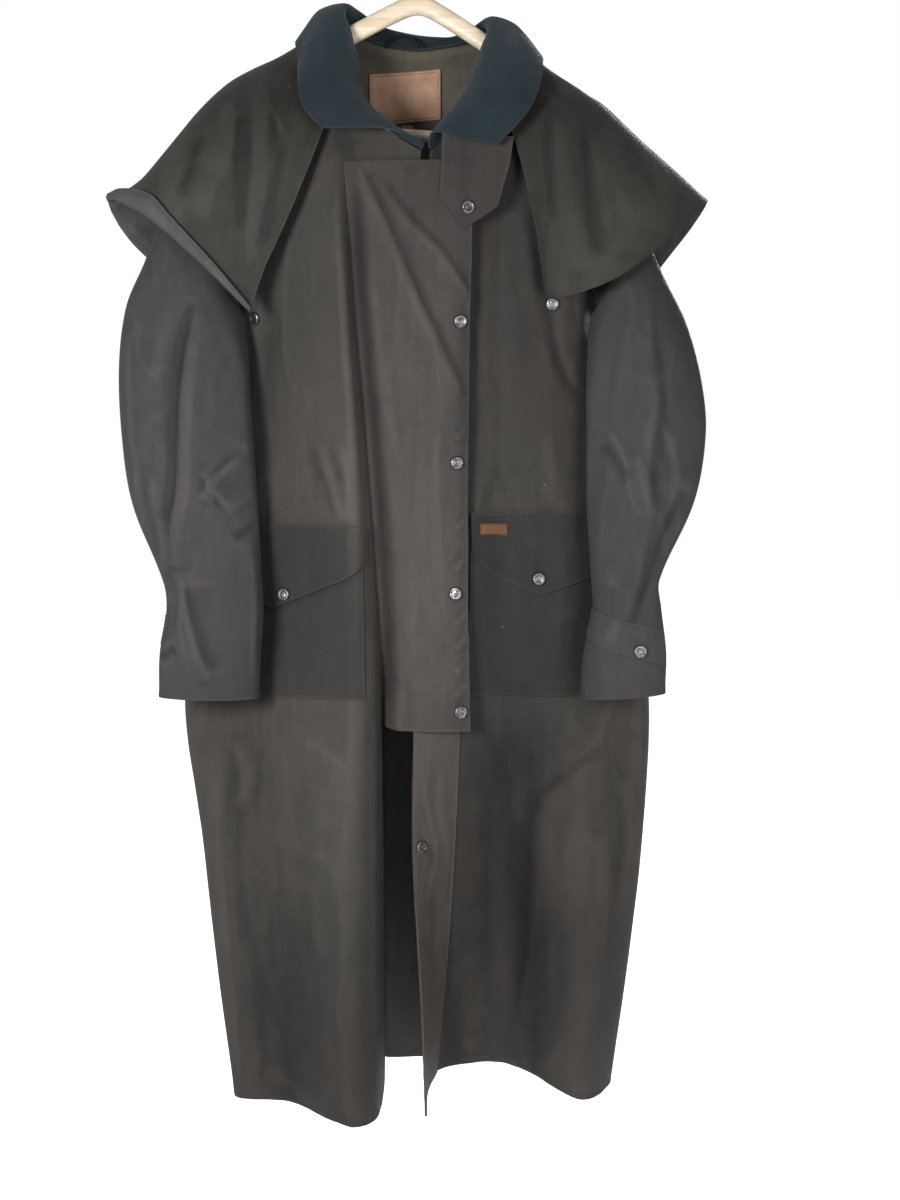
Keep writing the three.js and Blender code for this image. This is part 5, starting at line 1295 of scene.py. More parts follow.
# Tables of folds
# Paths are (x, z) as they are seen from the front, from the top down. Height is out of the cloth.
BODY_FOLDS = (
    dict(path=((-174, -460), (-183, -587), (-184, -680)), height=-5, width=14),
    dict(path=((-136, -358), (-142, -506), (-139, -657)), height=2.5, width=26),
    dict(path=((-118, -633), (-97, -699), (-87, -733)), height=2.6, width=8, sharp=0.3),
    dict(path=((-92, -633), (-84, -680), (-80, -729)), height=2, width=7),
    dict(path=((66, -392), (67, -529), (70, -680)), height=-3.2, width=13),
    dict(path=((101, -403), (113, -529), (122, -668)), height=3.5, width=26),
    dict(path=((133, -358), (151, -471), (165, -540), (193, -593)), height=-4.5, width=9),
    dict(path=((152, -622), (157, -668), (155, -715)), height=2.2, width=10),
    dict(path=((139, -757), (144, -822), (139, -894)), height=-2, width=14),
    dict(path=((-257, -991), (-251, -1138), (-230, -1389)), height=3, width=14),
    dict(path=((-219, -979), (-211, -1188), (-194, -1427)), height=-4.5, width=30),
    dict(path=((-107, -960), (-93, -1126), (-100, -1313), (-111, -1456)), height=5, width=42),
    dict(path=((-194, -1404), (-147, -1420), (-98, -1440)), height=2, width=12),
    dict(path=((-224, -993), (-210, -1035), (-221, -1079)), height=2.2, width=11, sharp=0.4),
    dict(path=((71, -985), (85, -1126), (98, -1263), (104, -1370)), height=-7, width=34),
    dict(path=((231, -1015), (181, -1047), (151, -1081), (146, -1176), (139, -1278), (133, -1366)),
         height=8, width=32, sharp=0.7),
    dict(path=((218, -1101), (224, -1188), (210, -1288), (199, -1395)), height=3.5, width=18,
         sharp=-0.4),
    dict(path=((252, -1037), (263, -1126), (246, -1219)), height=3, width=12, sharp=-0.5),
)

# The small puckers along the storm flap's free edge.
PUCKER_X = (42, 50, 61)
PUCKER_Z = (
    (-820, -813, -802), (-850, -843, -831), (-879, -872, -860), (-908, -901, -889),
    (-936, -928, -918), (-786, -778, -769), (-738, -731, -721), (-633, -626, -618),
)
FLAP_FOLDS = (
    dict(path=((-76, -310), (-54, -357), (-34, -400), (-7, -463), (31, -545), (56, -596)), height=6.5,
         width=24, sharp=-0.74),
    dict(path=((-49, -329), (-34, -356), (-7, -390), (24, -420), (56, -466), (72, -488)), height=3.6,
         width=15, sharp=-0.6),
    dict(path=((-36, -587), (-20, -704), (-8, -823), (-1, -992)), height=4, width=20),
    dict(path=((21, -610), (25, -727), (30, -871)), height=1.6, width=7),
    *(dict(path=tuple(zip(PUCKER_X, zs)), height=1.5, width=4.5) for zs in PUCKER_Z),
)
STRIP_FOLDS = (
    dict(path=((18, -986), (7, -1053), (20, -1127), (9, -1195), (15, -1264)), height=1.32, width=4,
         sharp=0.4),
    dict(path=((35, -986), (26, -1065), (36, -1139), (21, -1220)), height=1.08, width=5),
    dict(path=((2, -1016), (-2, -1127), (5, -1214)), height=0.72, width=4),
)
RIGHT_SLEEVE_FOLDS = (
    dict(path=((-263, -469), (-279, -547), (-284, -617), (-282, -683), (-286, -731)), height=-9,
         width=16, sharp=-0.5),
    dict(path=((-258, -477), (-269, -567), (-274, -644), (-280, -723), (-279, -782)), height=7,
         width=28, sharp=0.8),
    dict(path=((-228, -459), (-210, -528), (-201, -578), (-196, -652), (-188, -699)), height=4,
         width=14, sharp=-0.6),
    dict(path=((-337, -497), (-339, -547), (-335, -625), (-327, -691), (-313, -762)), height=4,
         width=14, sharp=-0.5),
    dict(path=((-251, -703), (-236, -680), (-205, -652)), height=3.6, width=15, sharp=-0.7),
    dict(path=((-251, -666), (-237, -688), (-213, -719)), height=2.8, width=13, sharp=0.65),
    dict(path=((-215, -747), (-201, -738), (-186, -726)), height=-3, width=6),
    dict(path=((-279, -780), (-268, -834), (-255, -878), (-241, -910)), height=6, width=22,
         sharp=-0.75),
    dict(path=((-254, -799), (-250, -842), (-233, -901)), height=-5.5, width=18),
    dict(path=((-198, -744), (-188, -802), (-188, -883), (-186, -927)), height=4.5, width=15,
         sharp=0.6),
    dict(path=((-294, -779), (-283, -814), (-299, -866)), height=-5, width=10),
    dict(path=((-301, -886), (-280, -872)), height=-4, width=6),
    dict(path=((-312, -668), (-301, -726), (-293, -773)), height=2.5, width=10, sharp=0.5),
)
LEFT_SLEEVE_FOLDS = (
    dict(path=((234, -462), (229, -528), (219, -596), (210, -670), (202, -750)), height=-4.5, width=15,
         sharp=-0.4),
    dict(path=((263, -451), (268, -528), (273, -588), (265, -654), (261, -715)), height=5, width=24,
         sharp=-0.7),
    dict(path=((250, -647), (266, -711), (254, -773), (243, -847)), height=4.2, width=20, sharp=-0.6),
    dict(path=((309, -687), (291, -732), (267, -794), (246, -851)), height=-9, width=14, sharp=0.4),
    dict(path=((315, -715), (300, -773), (281, -820)), height=4, width=13),
    dict(path=((199, -670), (196, -732), (199, -794), (207, -830)), height=-3, width=9),
    dict(path=((217, -637), (230, -659), (244, -682)), height=-2.6, width=9),
    dict(path=((286, -610), (300, -668), (292, -726)), height=3, width=14, sharp=0.5),
    dict(path=((220, -773), (228, -820), (221, -868)), height=2.2, width=12, sharp=0.4),
)
RIGHT_CAPE_FOLDS = (
    dict(path=((-224, -235), (-218, -290), (-238, -347), (-249, -386)), height=3.5, width=14,
         sharp=-0.3),
    dict(path=((-206, -257), (-201, -324), (-206, -397)), height=-3, width=12),
    dict(path=((-183, -223), (-179, -302), (-189, -392), (-194, -443)), height=2.4, width=10),
    dict(path=((-267, -268), (-285, -313), (-297, -341)), height=2.6, width=11),
    dict(path=((-250, -279), (-262, -324), (-277, -358)), height=-2.2, width=8),
    dict(path=((-153, -290), (-168, -358), (-185, -420)), height=-1.6, width=6),
    dict(path=((-178, -240), (-164, -262), (-155, -285)), height=1.2, width=4),
)
LEFT_CAPE_FOLDS = (
    dict(path=((161, -257), (166, -324), (178, -392), (185, -443)), height=3.5, width=11),
    dict(path=((190, -257), (195, -324), (203, -386), (211, -428)), height=-3.2, width=8),
    dict(path=((218, -268), (233, -324), (247, -386)), height=2.6, width=12),
    dict(path=((244, -279), (265, -330), (284, -363)), height=-2.4, width=10),
    dict(path=((146, -251), (151, -324), (156, -392)), height=-1.4, width=5),
)

WAIST_SEAMS = (
    dict(x=(-184, -142, -97, -68), z=(-705, -702, -698, -694)),
    dict(x=(61, 116, 177, 197), z=(-696, -691, -700, -704)),
)

# Body
STEP = 6
FRONT_STEP = 4.5
SEAM_LAP = 0.1
BODY_SEED, WAIST_SEED, CRUSH_SEED, SLEEVE_SEED, CAPE_SEED = 21, 77, 53, 31, 41

# The cloth is drawn in just inside the storm flap's seam, and the chest stands up just outside it.
PLEAT = dict(depth=9, inside=10, width=11, fade_top=110, fade_bottom=60)
RIDGE = dict(height=6.5, outside=4, width=17, steep=4.5)
WAIST = dict(pucker=0.4, groove=0.3, reach=15, groove_width=3.0, past=6)
CRUSHED = dict(body=1.3, cape=0.8, sleeve=1.7)


def in_front(points):
    """Keeps the fronts before the side seams, and lets their edges just lap the backs'."""
    points[:, 1] = np.where(points[:, 1] > -SEAM_GAP, SEAM_LAP, points[:, 1])
    return points


def behind(points):
    points[:, 1] = np.where(points[:, 1] < SEAM_GAP, -SEAM_LAP, points[:, 1])
    return points


def smooth_step(v):
    v = np.clip(v, 0, 1)
    return v * v * (3 - 2 * v)


def fade_at_seams(cloth, reach=35):
    return smooth_step(cloth.from_first / reach) * smooth_step(cloth.from_top / reach)


def rumple(x, z, seed, height=0.7):
    """Small soft lumps, longer down the cloth than across it."""
    wide = soft_noise(x * 1.5, z * 0.55, 34.0, seed)
    small = soft_noise(x * 1.2, z * 0.9, 13.0, seed + 9)
    return height * (wide + 0.35 * small)


FLAP_SIDE = storm_flap.points[:, 0, [0, 2]]


def beside_flap(x, z):
    """How far a place lies inside the storm flap's seam; under 0 is on the chest beside it."""
    return x - np.interp(-z, -FLAP_SIDE[:, 1], FLAP_SIDE[:, 0])


def pleat_fade(z):
    top = smooth_step((FLAP_SIDE[0, 1] - z) / PLEAT["fade_top"])
    return top * smooth_step((z - FLAP_SIDE[-1, 1]) / PLEAT["fade_bottom"])


def body_relief(x, z):
    """How far the fronts, and what is laid on them, stand out of their plain shape."""
    away = (beside_flap(x, z) - PLEAT["inside"]) / PLEAT["width"]
    pleat = -PLEAT["depth"] * np.exp(-(away**2)) * pleat_fade(z)
    crushed = CRUSHED["body"] * (creased_noise(x * 1.2, z * 0.45, 62.0, CRUSH_SEED) - 0.3)
    return folds(x, z, BODY_FOLDS) + rumple(x, z, BODY_SEED) + crushed + pleat


def chest_ridge(x, z):
    """The chest's cloth stands up beside the flap's seam, and hides it."""
    away = beside_flap(x, z) + RIDGE["outside"]
    wide = np.where(away < 0, RIDGE["width"], RIDGE["steep"])
    return RIDGE["height"] * np.exp(-((away / wide) ** 2)) * pleat_fade(z)


def waist_relief(x, z):
    """The gathered seam across the fronts: a stitched groove between small puckers."""
    total = np.zeros(np.shape(x))
    for line in WAIST_SEAMS:
        far = z - np.interp(x, line["x"], line["z"])
        past = WAIST["past"]
        inside = smooth_step((x - line["x"][0] + past) / past)
        inside = inside * smooth_step((line["x"][-1] + past - x) / past)
        puckers = soft_noise(x, z * 0.12, 5.5, WAIST_SEED) * np.exp(-((far / WAIST["reach"]) ** 2))
        groove = np.exp(-((far / WAIST["groove_width"]) ** 2))
        total = total + inside * (WAIST["pucker"] * puckers - WAIST["groove"] * groove)
    return total


def facing(cloth):
    """From 0 where a cloth faces sideways to 1 where it faces the front."""
    return np.clip(-1.4 * cloth.normals[..., 1], 0, 1)


def fold_front(cloth, table, seed, height=0.7, crush=CRUSHED["cape"]):
    """Adds a table's folds and a crushed cloth's creases to a cloth, where it faces the front."""
    x, z = cloth.points[..., 0], cloth.points[..., 2]
    crushed = crush * (creased_noise(x, z * 0.6, 46.0, seed) - 0.3)
    relief = folds(x, z, table) + rumple(x, z, seed, height) + crushed
    cloth.raise_by(relief * facing(cloth), FRONT)


fine_fronts = {}
for side, coarse in (("right", right_front), ("left", left_front)):
    cloth = FineCloth(coarse, FRONT_STEP, hems=("bottom", "last"))
    x, z = cloth.points[..., 0], cloth.points[..., 2]
    relief = body_relief(x, z) + waist_relief(x, z) + (chest_ridge(x, z) if side == "right" else 0)
    cloth.raise_by(relief * fade_at_seams(cloth), FRONT)
    cloth.raise_by(hem_relief(cloth))
    fine_fronts[side] = cloth
    dress(f"front_{side}_cloth", cloth, [f"front_{side}"], SKIN, limit=in_front)

fine_yoke = FineCloth(yoke, STEP)
dress("back_yoke_cloth", fine_yoke, ["back_yoke"], (LOOKS["body"], LOOKS["lining"]),
      limit=behind)
for side, coarse in (("right", right_back), ("left", left_back)):
    cloth = FineCloth(coarse, STEP, hems=("bottom",))
    cloth.raise_by(hem_relief(cloth))
    dress(f"back_{side}_cloth", cloth, [f"back_{side}"], SKIN, limit=behind)


def make_underlap():
    """A strip inside the two lower backs, behind the slit down their middle."""
    lift = -(CLOTH + 2 * SEAM_GAP)
    last = right_back.columns - 1
    lines = [
        [
            right_back.lifted(i, last + VENT["right"], lift),
            right_back.lifted(i, last - 1, lift),
            right_back.lifted(i, last, lift),
            left_back.lifted(i, last - VENT["left"], lift),
        ]
        for i in range(right_back.rows)
        if right_back.points[i, -1, 2] <= VENT["top_z"]
    ]
    return FineCloth(Cloth(lines, SPINE), STEP, hems=("bottom",))


dress("vent_underlap_cloth", make_underlap(), ["vent_underlap"], SKIN)

# Sleeves
SLEEVE_PLACES, SLEEVE_ROWS = 132, 210


class SleeveCloth(FineCloth):
    """A whole sleeve, opened along its inner side, from the armhole to the cuff."""

    def __init__(self, surface):
        turns = np.linspace(np.pi, 3 * np.pi, SLEEVE_PLACES + 1) * -1
        downs = np.linspace(0, len(RIGHT_SLEEVE) - 1, SLEEVE_ROWS)
        grid = surface(downs, turns)
        Cloth.__init__(self, grid, normals=np.zeros_like(grid))
        self.turn_out()
        self.hems = ("bottom",)
        self.measure()

    def turn_out(self):
        fresh = self.find_normals((0, 0, 0))
        middle = self.points.mean(axis=1, keepdims=True)
        if (fresh * (self.points - middle)).sum() < 0:
            fresh = -fresh
        seam = unit(fresh[:, 0] + fresh[:, -1])
        fresh[:, 0] = fresh[:, -1] = seam
        self.normals = fresh

    def raise_by(self, height, way=None):
        direction = self.normals if way is None else np.array(way, float)
        self.points = self.points + direction * height[..., None]
        self.turn_out()


SLEEVE_FOLDS = dict(right=RIGHT_SLEEVE_FOLDS, left=LEFT_SLEEVE_FOLDS)
for side, surface in (("right", right_sleeve), ("left", left_sleeve)):
    cloth = SleeveCloth(surface)
    fold_front(cloth, SLEEVE_FOLDS[side], SLEEVE_SEED, crush=CRUSHED["sleeve"])
    cloth.raise_by(hem_relief(cloth, pucker=0.3))
    dress(f"sleeve_{side}_cloth", cloth, [f"sleeve_{side}_front", f"sleeve_{side}_back"],
          both_sides("sleeve"))

# Cape and collar
for name, coarse, hems in (
    ("right", right_cape_turned, ("first", "bottom")),
    ("back", back_cape, ("bottom",)),
    ("left", left_cape, ("last", "bottom")),
):
    cloth = FineCloth(coarse, STEP, hems=hems)
    if name != "back":
        table = RIGHT_CAPE_FOLDS if name == "right" else LEFT_CAPE_FOLDS
        fold_front(cloth, table, CAPE_SEED, 0.5)
    cloth.raise_by(hem_relief(cloth))
    under = LOOKS["turned" if name == "right" else "inside"]
    dress(f"cape_{name}_cloth", cloth, [f"cape_{name}"], (LOOKS["cape"], under))

collar_cloth = FineCloth(collar, 4, hems=("first", "last", "bottom"))
collar_cloth.raise_by(hem_relief(collar_cloth, pucker=0.3))
dress("collar_top_cloth", collar_cloth, ["collar_top"], (LOOKS["cord"],),
      thickness=COLLAR_CLOTH)
dress("collar_under_cloth", FineCloth(under_collar, 5), ["collar_under"], SKIN)


# Closure
def follow_body(cloth, table, least=0):
    """Gives a piece laid on the fronts their relief, and folds of its own that only stand out."""
    x, z = cloth.points[..., 0], cloth.points[..., 2]
    own = np.maximum(folds(x, z, table), least) if table else 0 * x
    cloth.raise_by(body_relief(x, z) + own, FRONT)


fine_strip = FineCloth(fly_strip, 3.5, hems=("last", "bottom"))
follow_body(fine_strip, STRIP_FOLDS)
dress("fly_strip_cloth", fine_strip, ["fly_strip"], both_sides("strip"))
fine_flap = FineCloth(storm_flap, 3, hems=("last", "bottom"))
follow_body(fine_flap, FLAP_FOLDS)
fine_flap.raise_by(hem_relief(fine_flap))
dress("storm_flap_cloth", fine_flap, ["storm_flap"], both_sides("flap"))
fine_tab = FineCloth(throat_tab, 3, hems=("bottom", "first", "last"), straight=True)
follow_body(fine_tab, FLAP_FOLDS)
fine_tab.raise_by(hem_relief(fine_tab, pucker=0.2))
dress("throat_tab_cloth", fine_tab, ["throat_tab"], both_sides("flap"))

# Pockets
POCKET = dict(top_z=-745, bottom_z=-938, flap_top_z=-733, corner=52, point=100, lift=2.8, flap_lift=5)
POCKETS = dict(
    right=dict(ribs=(0.45, 3.4), point_rib=2, drop=0),
    left=dict(ribs=(0.45, 3.88), point_rib=2.333, drop=14),
)


def rib_column(cloth, rib):
    """The fine column of a front at one of its ribs."""
    column = np.interp(rib, FRONT_ACROSS, np.arange(len(FRONT_ACROSS)))
    return cloth.place(0, column)[1]


def laid_on(cloth, columns, top_z, bottom_z, lift, rows=30):
    """A piece laid on a cloth along its columns, between a top and a bottom height for each."""
    lines = []
    every = np.arange(cloth.rows)
    for column, top, bottom in zip(columns, np.broadcast_to(top_z, len(columns)), bottom_z):
        heights = -cloth.at(every, np.full(cloth.rows, column))[0][:, 2]
        ends = np.interp([-top, -bottom], heights, every)
        down = np.linspace(*ends, rows + 1)
        lines.append(cloth.lifted(down, np.full(rows + 1, column), lift))
    return Cloth(np.array(lines).swapaxes(0, 1), SPINE)


def pointed_edge(columns, point_column, top):
    ends = np.where(columns < point_column, columns[0], columns[-1])
    share = 1 - np.abs((columns - point_column) / (ends - point_column))
    rounded = 13 * (1 - np.sqrt(1 - np.clip(1 - share / 0.24, 0, 1) ** 2))
    return top - POCKET["corner"] - (POCKET["point"] - POCKET["corner"]) * share + rounded


pocket_flaps = {}
for side, pocket in POCKETS.items():
    host = fine_fronts[side]
    first, last = (rib_column(host, rib) for rib in pocket["ribs"])
    point = rib_column(host, pocket["point_rib"])
    columns = np.concatenate([np.linspace(first, point, 24), np.linspace(point, last, 24)[1:]])
    top = POCKET["flap_top_z"] + pocket["drop"]
    flap = laid_on(host, columns, top, pointed_edge(columns, point, top), POCKET["flap_lift"], rows=16)
    flap = FineCloth(flap, 5, hems=("first", "last", "bottom", "top"), straight=True)
    flap.raise_by(hem_relief(flap, pucker=0.2))
    pocket_flaps[side] = flap
    bag = laid_on(host, columns, POCKET["top_z"] + pocket["drop"],
                  np.full(len(columns), POCKET["bottom_z"]), POCKET["lift"])
    bag = FineCloth(bag, 4, hems=("first", "last", "bottom"), straight=True)
    bag.raise_by(hem_relief(bag, pucker=0.25))
    # Painted shadow on the bag, just under the pocket flap's edge.
    below = np.interp(bag.points[..., 0], flap.points[-1, :, 0], flap.points[-1, :, 2]) - bag.points[..., 2]
    bag.painted_shadow = 0.45 * np.exp(-((np.maximum(below, 0) / 6) ** 2)) * (below > -8)
    dress(f"pocket_{side}_cloth", bag, [f"pocket_{side}"], both_sides("pocket"))
    dress(f"pocket_flap_{side}_cloth", flap, [f"pocket_flap_{side}"],
          both_sides("pocket"))

# Cuff tabs
# Columns and rows are those of the sleeves' halves in the part.
CUFF_TABS = dict(
    right=dict(surface=right_sleeve, columns=(12.4, 15.6), top=(15.1, 15.1), bottom=(15.8, 15.8)),
    left=dict(surface=left_sleeve, columns=(1.4, 7.6), top=(15.5, 14.9), bottom=(16.3, 15.55)),
)
CUFF_LIFT = 2.3
CUFF_MIDDLE_Y = -108


def sleeve_patch(surface, rows, columns, lift):
    """A piece laid round the front of a sleeve, at paired rows and columns."""
    downs = np.interp(rows, np.arange(len(SLEEVE_DOWN)), SLEEVE_DOWN)
    turns = 2 * np.pi * np.asarray(columns) / SLEEVE_TURNS
    places = [zip(*line) for line in zip(downs, turns)]
    grid = np.array([[surface([d], np.array([t]))[0, 0] for d, t in line] for line in places])
    inside = grid.mean(axis=(0, 1)) * (1, 0, 1) + (0, CUFF_MIDDLE_Y, 0)
    cloth = Cloth(grid, inside)
    return Cloth(cloth.points + cloth.normals * lift, inside)


cuff_tabs = {}
for side, tab in CUFF_TABS.items():
    along = np.linspace(0, 1, 20)
    columns = np.interp(along, (0, 1), tab["columns"])
    top, bottom = np.interp(along, (0, 1), tab["top"]), np.interp(along, (0, 1), tab["bottom"])
    shares = np.linspace(0, 1, 7)[:, None]
    rows = top + (bottom - top) * shares
    cloth = sleeve_patch(tab["surface"], rows, np.broadcast_to(columns, rows.shape), CUFF_LIFT)
    cloth = FineCloth(cloth, 4, hems=("first", "last", "top", "bottom"), straight=True)
    fold_front(cloth, SLEEVE_FOLDS[side], SLEEVE_SEED, crush=CRUSHED["sleeve"])
    cloth.raise_by(hem_relief(cloth, pucker=0.15))
    cuff_tabs[side] = cloth
    dress(f"cuff_tab_{side}_cloth", cloth, [f"cuff_tab_{side}"], both_sides("sleeve"))

# Blank leather labels
LABEL_LIFT = -(CLOTH / 2 + SEAM_GAP + LEATHER / 2 + 1)


def patch(cloth, top, bottom, lift, columns=14, rows=8):
    """A patch on a cloth: its top and bottom edges are drawn as they are seen from the front."""
    places = np.linspace(0, len(top) - 1, columns)
    ends = [
        [np.interp(places, np.arange(len(edge)), [p[k] for p in edge]) for k in (0, 1)]
        for edge in (top, bottom)
    ]
    grid = []
    for share in np.linspace(0, 1, rows):
        xs, zs = (ends[0][k] + (ends[1][k] - ends[0][k]) * share for k in (0, 1))
        grid.append([cloth.lifted(*cloth.find(x, z), lift) for x, z in zip(xs, zs)])
    return Cloth(np.array(grid), SPINE if lift > 0 else (0, 400, -200))


NECK_LABEL = dict(
    top=((-63, -187), (-45, -185), (-20, -183), (4, -181), (26, -179)),
    bottom=((-62, -226), (-44, -247), (-20, -244), (4, -242), (26, -240)),
)
SIZE_TAB = dict(top=((-23, -246), (-9, -246)), bottom=((-23, -258), (-9, -258)))
POCKET_TAG = dict(top=((71, -731), (88, -731), (105, -732)), bottom=((71, -745), (88, -745), (105, -746)))

neck_label = FineCloth(patch(fine_yoke, **NECK_LABEL, lift=LABEL_LIFT), 3, straight=True,
                       hems=("first", "last", "top", "bottom"))
neck_label.raise_by(-0.25 * np.exp(-(((neck_label.hem_distance - 4) / 1.0) ** 2)))
dress("neck_label_leather", neck_label, ["neck_label"], (LOOKS["leather"],),
      thickness=LEATHER)
size_tab = patch(fine_yoke, **SIZE_TAB, lift=LABEL_LIFT + 0.6, columns=5, rows=5)
size_tab = FineCloth(size_tab, 2, straight=True)
dress("size_tab_leather", size_tab, ["size_tab"], (LOOKS["leather"],),
      thickness=1)
tag_lift = CLOTH / 2 + SEAM_GAP + 0.9
pocket_tag = FineCloth(patch(pocket_flaps["left"], **POCKET_TAG, lift=tag_lift, rows=5), 2, straight=True,
                       hems=("first", "last", "top", "bottom"))
pocket_tag.raise_by(-0.15 * np.exp(-(((pocket_tag.hem_distance - 2.5) / 0.8) ** 2)))
dress("pocket_label_leather", pocket_tag, ["pocket_label"], (LOOKS["tag"],),
      thickness=1)


# Round pieces
def round_bar(centres, radii, sides=16, flat=1.0):
    """Rings of points along a path, with a cap at each end. flat is depth over height."""
    centres = np.asarray(centres, float)
    radii = np.broadcast_to(radii, len(centres))
    k = np.arange(len(centres))
    along = unit(centres[np.minimum(k + 1, k[-1])] - centres[np.maximum(k - 1, 0)])
    side = unit(np.cross((0, 1, 0), along))
    rise = np.cross(along, side)
    turn = 2 * np.pi * np.arange(sides) / sides
    ring = side[:, None] * np.cos(turn)[None, :, None] + flat * rise[:, None] * np.sin(turn)[None, :, None]
    points = centres[:, None] + radii[:, None, None] * ring
    return points.reshape(-1, 3), bar_faces(len(centres), sides)


def bar_faces(rings, sides):
    faces = []
    for i in range(rings - 1):
        for k in range(sides):
            n = (k + 1) % sides
            faces.append((i * sides + k, i * sides + n, (i + 1) * sides + n, (i + 1) * sides + k))
    faces.append(tuple(range(sides))[::-1])
    faces.append(tuple((rings - 1) * sides + k for k in range(sides)))
    return faces


def round_piece(name, node, points, faces, material, slot):
    obj = make_object(name, points, faces, [material])
    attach(obj, BODY)
    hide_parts(node)


LOOP = dict(x=-21, y=43, foot=-157, half=20, tall=14, radius=1.6)
turns = np.linspace(0, np.pi, 33)
loop_x = LOOP["x"] - LOOP["half"] * np.cos(turns)
loop_z = LOOP["foot"] + LOOP["tall"] * np.sin(turns)
loop_path = np.stack([loop_x, np.full(turns.size, LOOP["y"]), loop_z], axis=1)
round_piece("hanging_loop_cord", "hanging_loop", *round_bar(loop_path, LOOP["radius"], 12),
            LOOKS["loop"], "waxed_cotton")

# Hanger
ARM_REACH, ARM_TALL, ARM_THICK, ARM_END = 204, 24, 15, 5
ARM_SIDES = BAR_SIDES = 28
POST_SIDES = 24
END_TURN = np.linspace(0, np.pi / 2, 6)[1:]
BAR = dict(z=-270, radius=7, reach=176)
POST = dict(wide=12, deep=13, below=9)


def arm_top(x):
    x = np.asarray(x, float)
    return ARM_TOP_Z - ARM_SLOPE * np.hypot(x, ARM_ROUND) - HANGER_LEAN * x


def make_arms():
    """Two sloping arms in one piece, with an oval section and rounded ends."""
    ends = ARM_REACH + ARM_END * np.sin(END_TURN)
    scales = [*np.cos(END_TURN * 0.85)]
    middle = [*steps(-ARM_REACH, -24, 12), *steps(-20, 20, 4), *steps(24, ARM_REACH, 12)]
    xs = np.array([*-ends[::-1], *middle, *ends])
    scale = np.array([*scales[::-1], *[1] * len(middle), *scales])
    turn = 2 * np.pi * np.arange(ARM_SIDES) / ARM_SIDES
    half = ARM_TALL / 2
    y = (ARM_THICK / 2) * scale[:, None] * np.sign(np.cos(turn)) * np.abs(np.cos(turn)) ** 0.85
    z = arm_top(xs)[:, None] - half + half * scale[:, None] * np.sin(turn)
    points = np.stack([np.broadcast_to(xs[:, None], y.shape), y, z], axis=-1)
    return points.reshape(-1, 3), bar_faces(len(xs), ARM_SIDES)


def bar_z(x):
    return BAR["z"] - HANGER_LEAN * x


round_piece("hanger_arms_wood", "hanger_arms", *make_arms(), LOOKS["wood"], "hanger_wood")
bar_ends = np.array([BAR["reach"] - 1, BAR["reach"]])
bar_x = np.array([*-bar_ends[::-1], *steps(-170, 170, 20), *bar_ends])
bar_radii = np.array([BAR["radius"] - 1, *[BAR["radius"]] * (len(bar_x) - 2), BAR["radius"] - 1])
bar_path = np.stack([bar_x, 0 * bar_x, bar_z(bar_x)], axis=1)
round_piece("hanger_bar_wood", "hanger_bar", *round_bar(bar_path, bar_radii, BAR_SIDES), LOOKS["wood"],
            "hanger_wood")


def squared(v):
    """Draws a sine towards its ends, which turns a circle into a square with round corners."""
    return np.sign(v) * np.abs(v) ** 0.45


def make_post(sign):
    """An end post from the arm down past the bar, with its edges rounded off."""
    near = sign * (BAR["reach"] + SEAM_GAP + BAR["radius"] * HANGER_LEAN)
    far = near + sign * POST["wide"]
    foot = bar_z(near) - POST["below"]
    turn = 2 * np.pi * (np.arange(POST_SIDES) + 0.5) / POST_SIDES
    rings = []
    for share, small in ((0, 0.8), (0.02, 1), (0.98, 1), (1, 0.8)):
        x = (near + far) / 2 + (far - near) / 2 * small * squared(np.cos(turn))
        y = POST["deep"] / 2 * small * squared(np.sin(turn))
        head = arm_top(x) - ARM_TALL - SEAM_GAP
        rings.append(np.stack([x, y, foot + (head - foot) * share], axis=1))
    points = np.array(rings).reshape(-1, 3)
    faces = bar_faces(len(rings), POST_SIDES)
    return points, [f[::-1] for f in faces] if sign < 0 else faces


for side, sign in (("right", -1), ("left", 1)):
    round_piece(f"hanger_end_{side}_wood", f"hanger_end_{side}", *make_post(sign), LOOKS["wood"],
                "hanger_wood")

HOOK = dict(wire=2, bow=22, middle_z=-20)
bow_turns = np.linspace(-0.5, 1.15 * np.pi, 48)
bow_z = HOOK["middle_z"] + HOOK["bow"] * np.sin(bow_turns)
bow = np.stack([HOOK["bow"] * np.cos(bow_turns), 0 * bow_turns, bow_z], axis=1)
end_x, end_z = bow[-1, 0], bow[-1, 2]
stem = np.array([[end_x * 0.55, 0, end_z - 12], [end_x * 0.12, 0, end_z - 20], [0, 0, end_z - 30],
                 [0, 0, float(arm_top(0)) + SEAM_GAP]])
round_piece("hanger_hook_wire", "hanger_hook", *round_bar(np.concatenate([bow, stem]), HOOK["wire"], 20),
            LOOKS["wire"], "hook_wire")

# Snap fasteners
SNAP_RADIUS, SNAP_TALL = 8, 3
SNAP_LIFT, PANEL_LIFT = 0.75, 1

# Radius and height of a cap's profile as shares of the snap's own, from its middle to its foot.
CAP_PROFILE = (
    (0.0, 0.86), (0.2, 0.88), (0.38, 0.86), (0.46, 0.78), (0.52, 0.78), (0.58, 0.9), (0.7, 0.98),
    (0.82, 0.92), (0.92, 0.76), (0.98, 0.52), (1.0, 0.3), (0.96, 0.1), (0.84, 0.0), (0.0, 0.0),
)

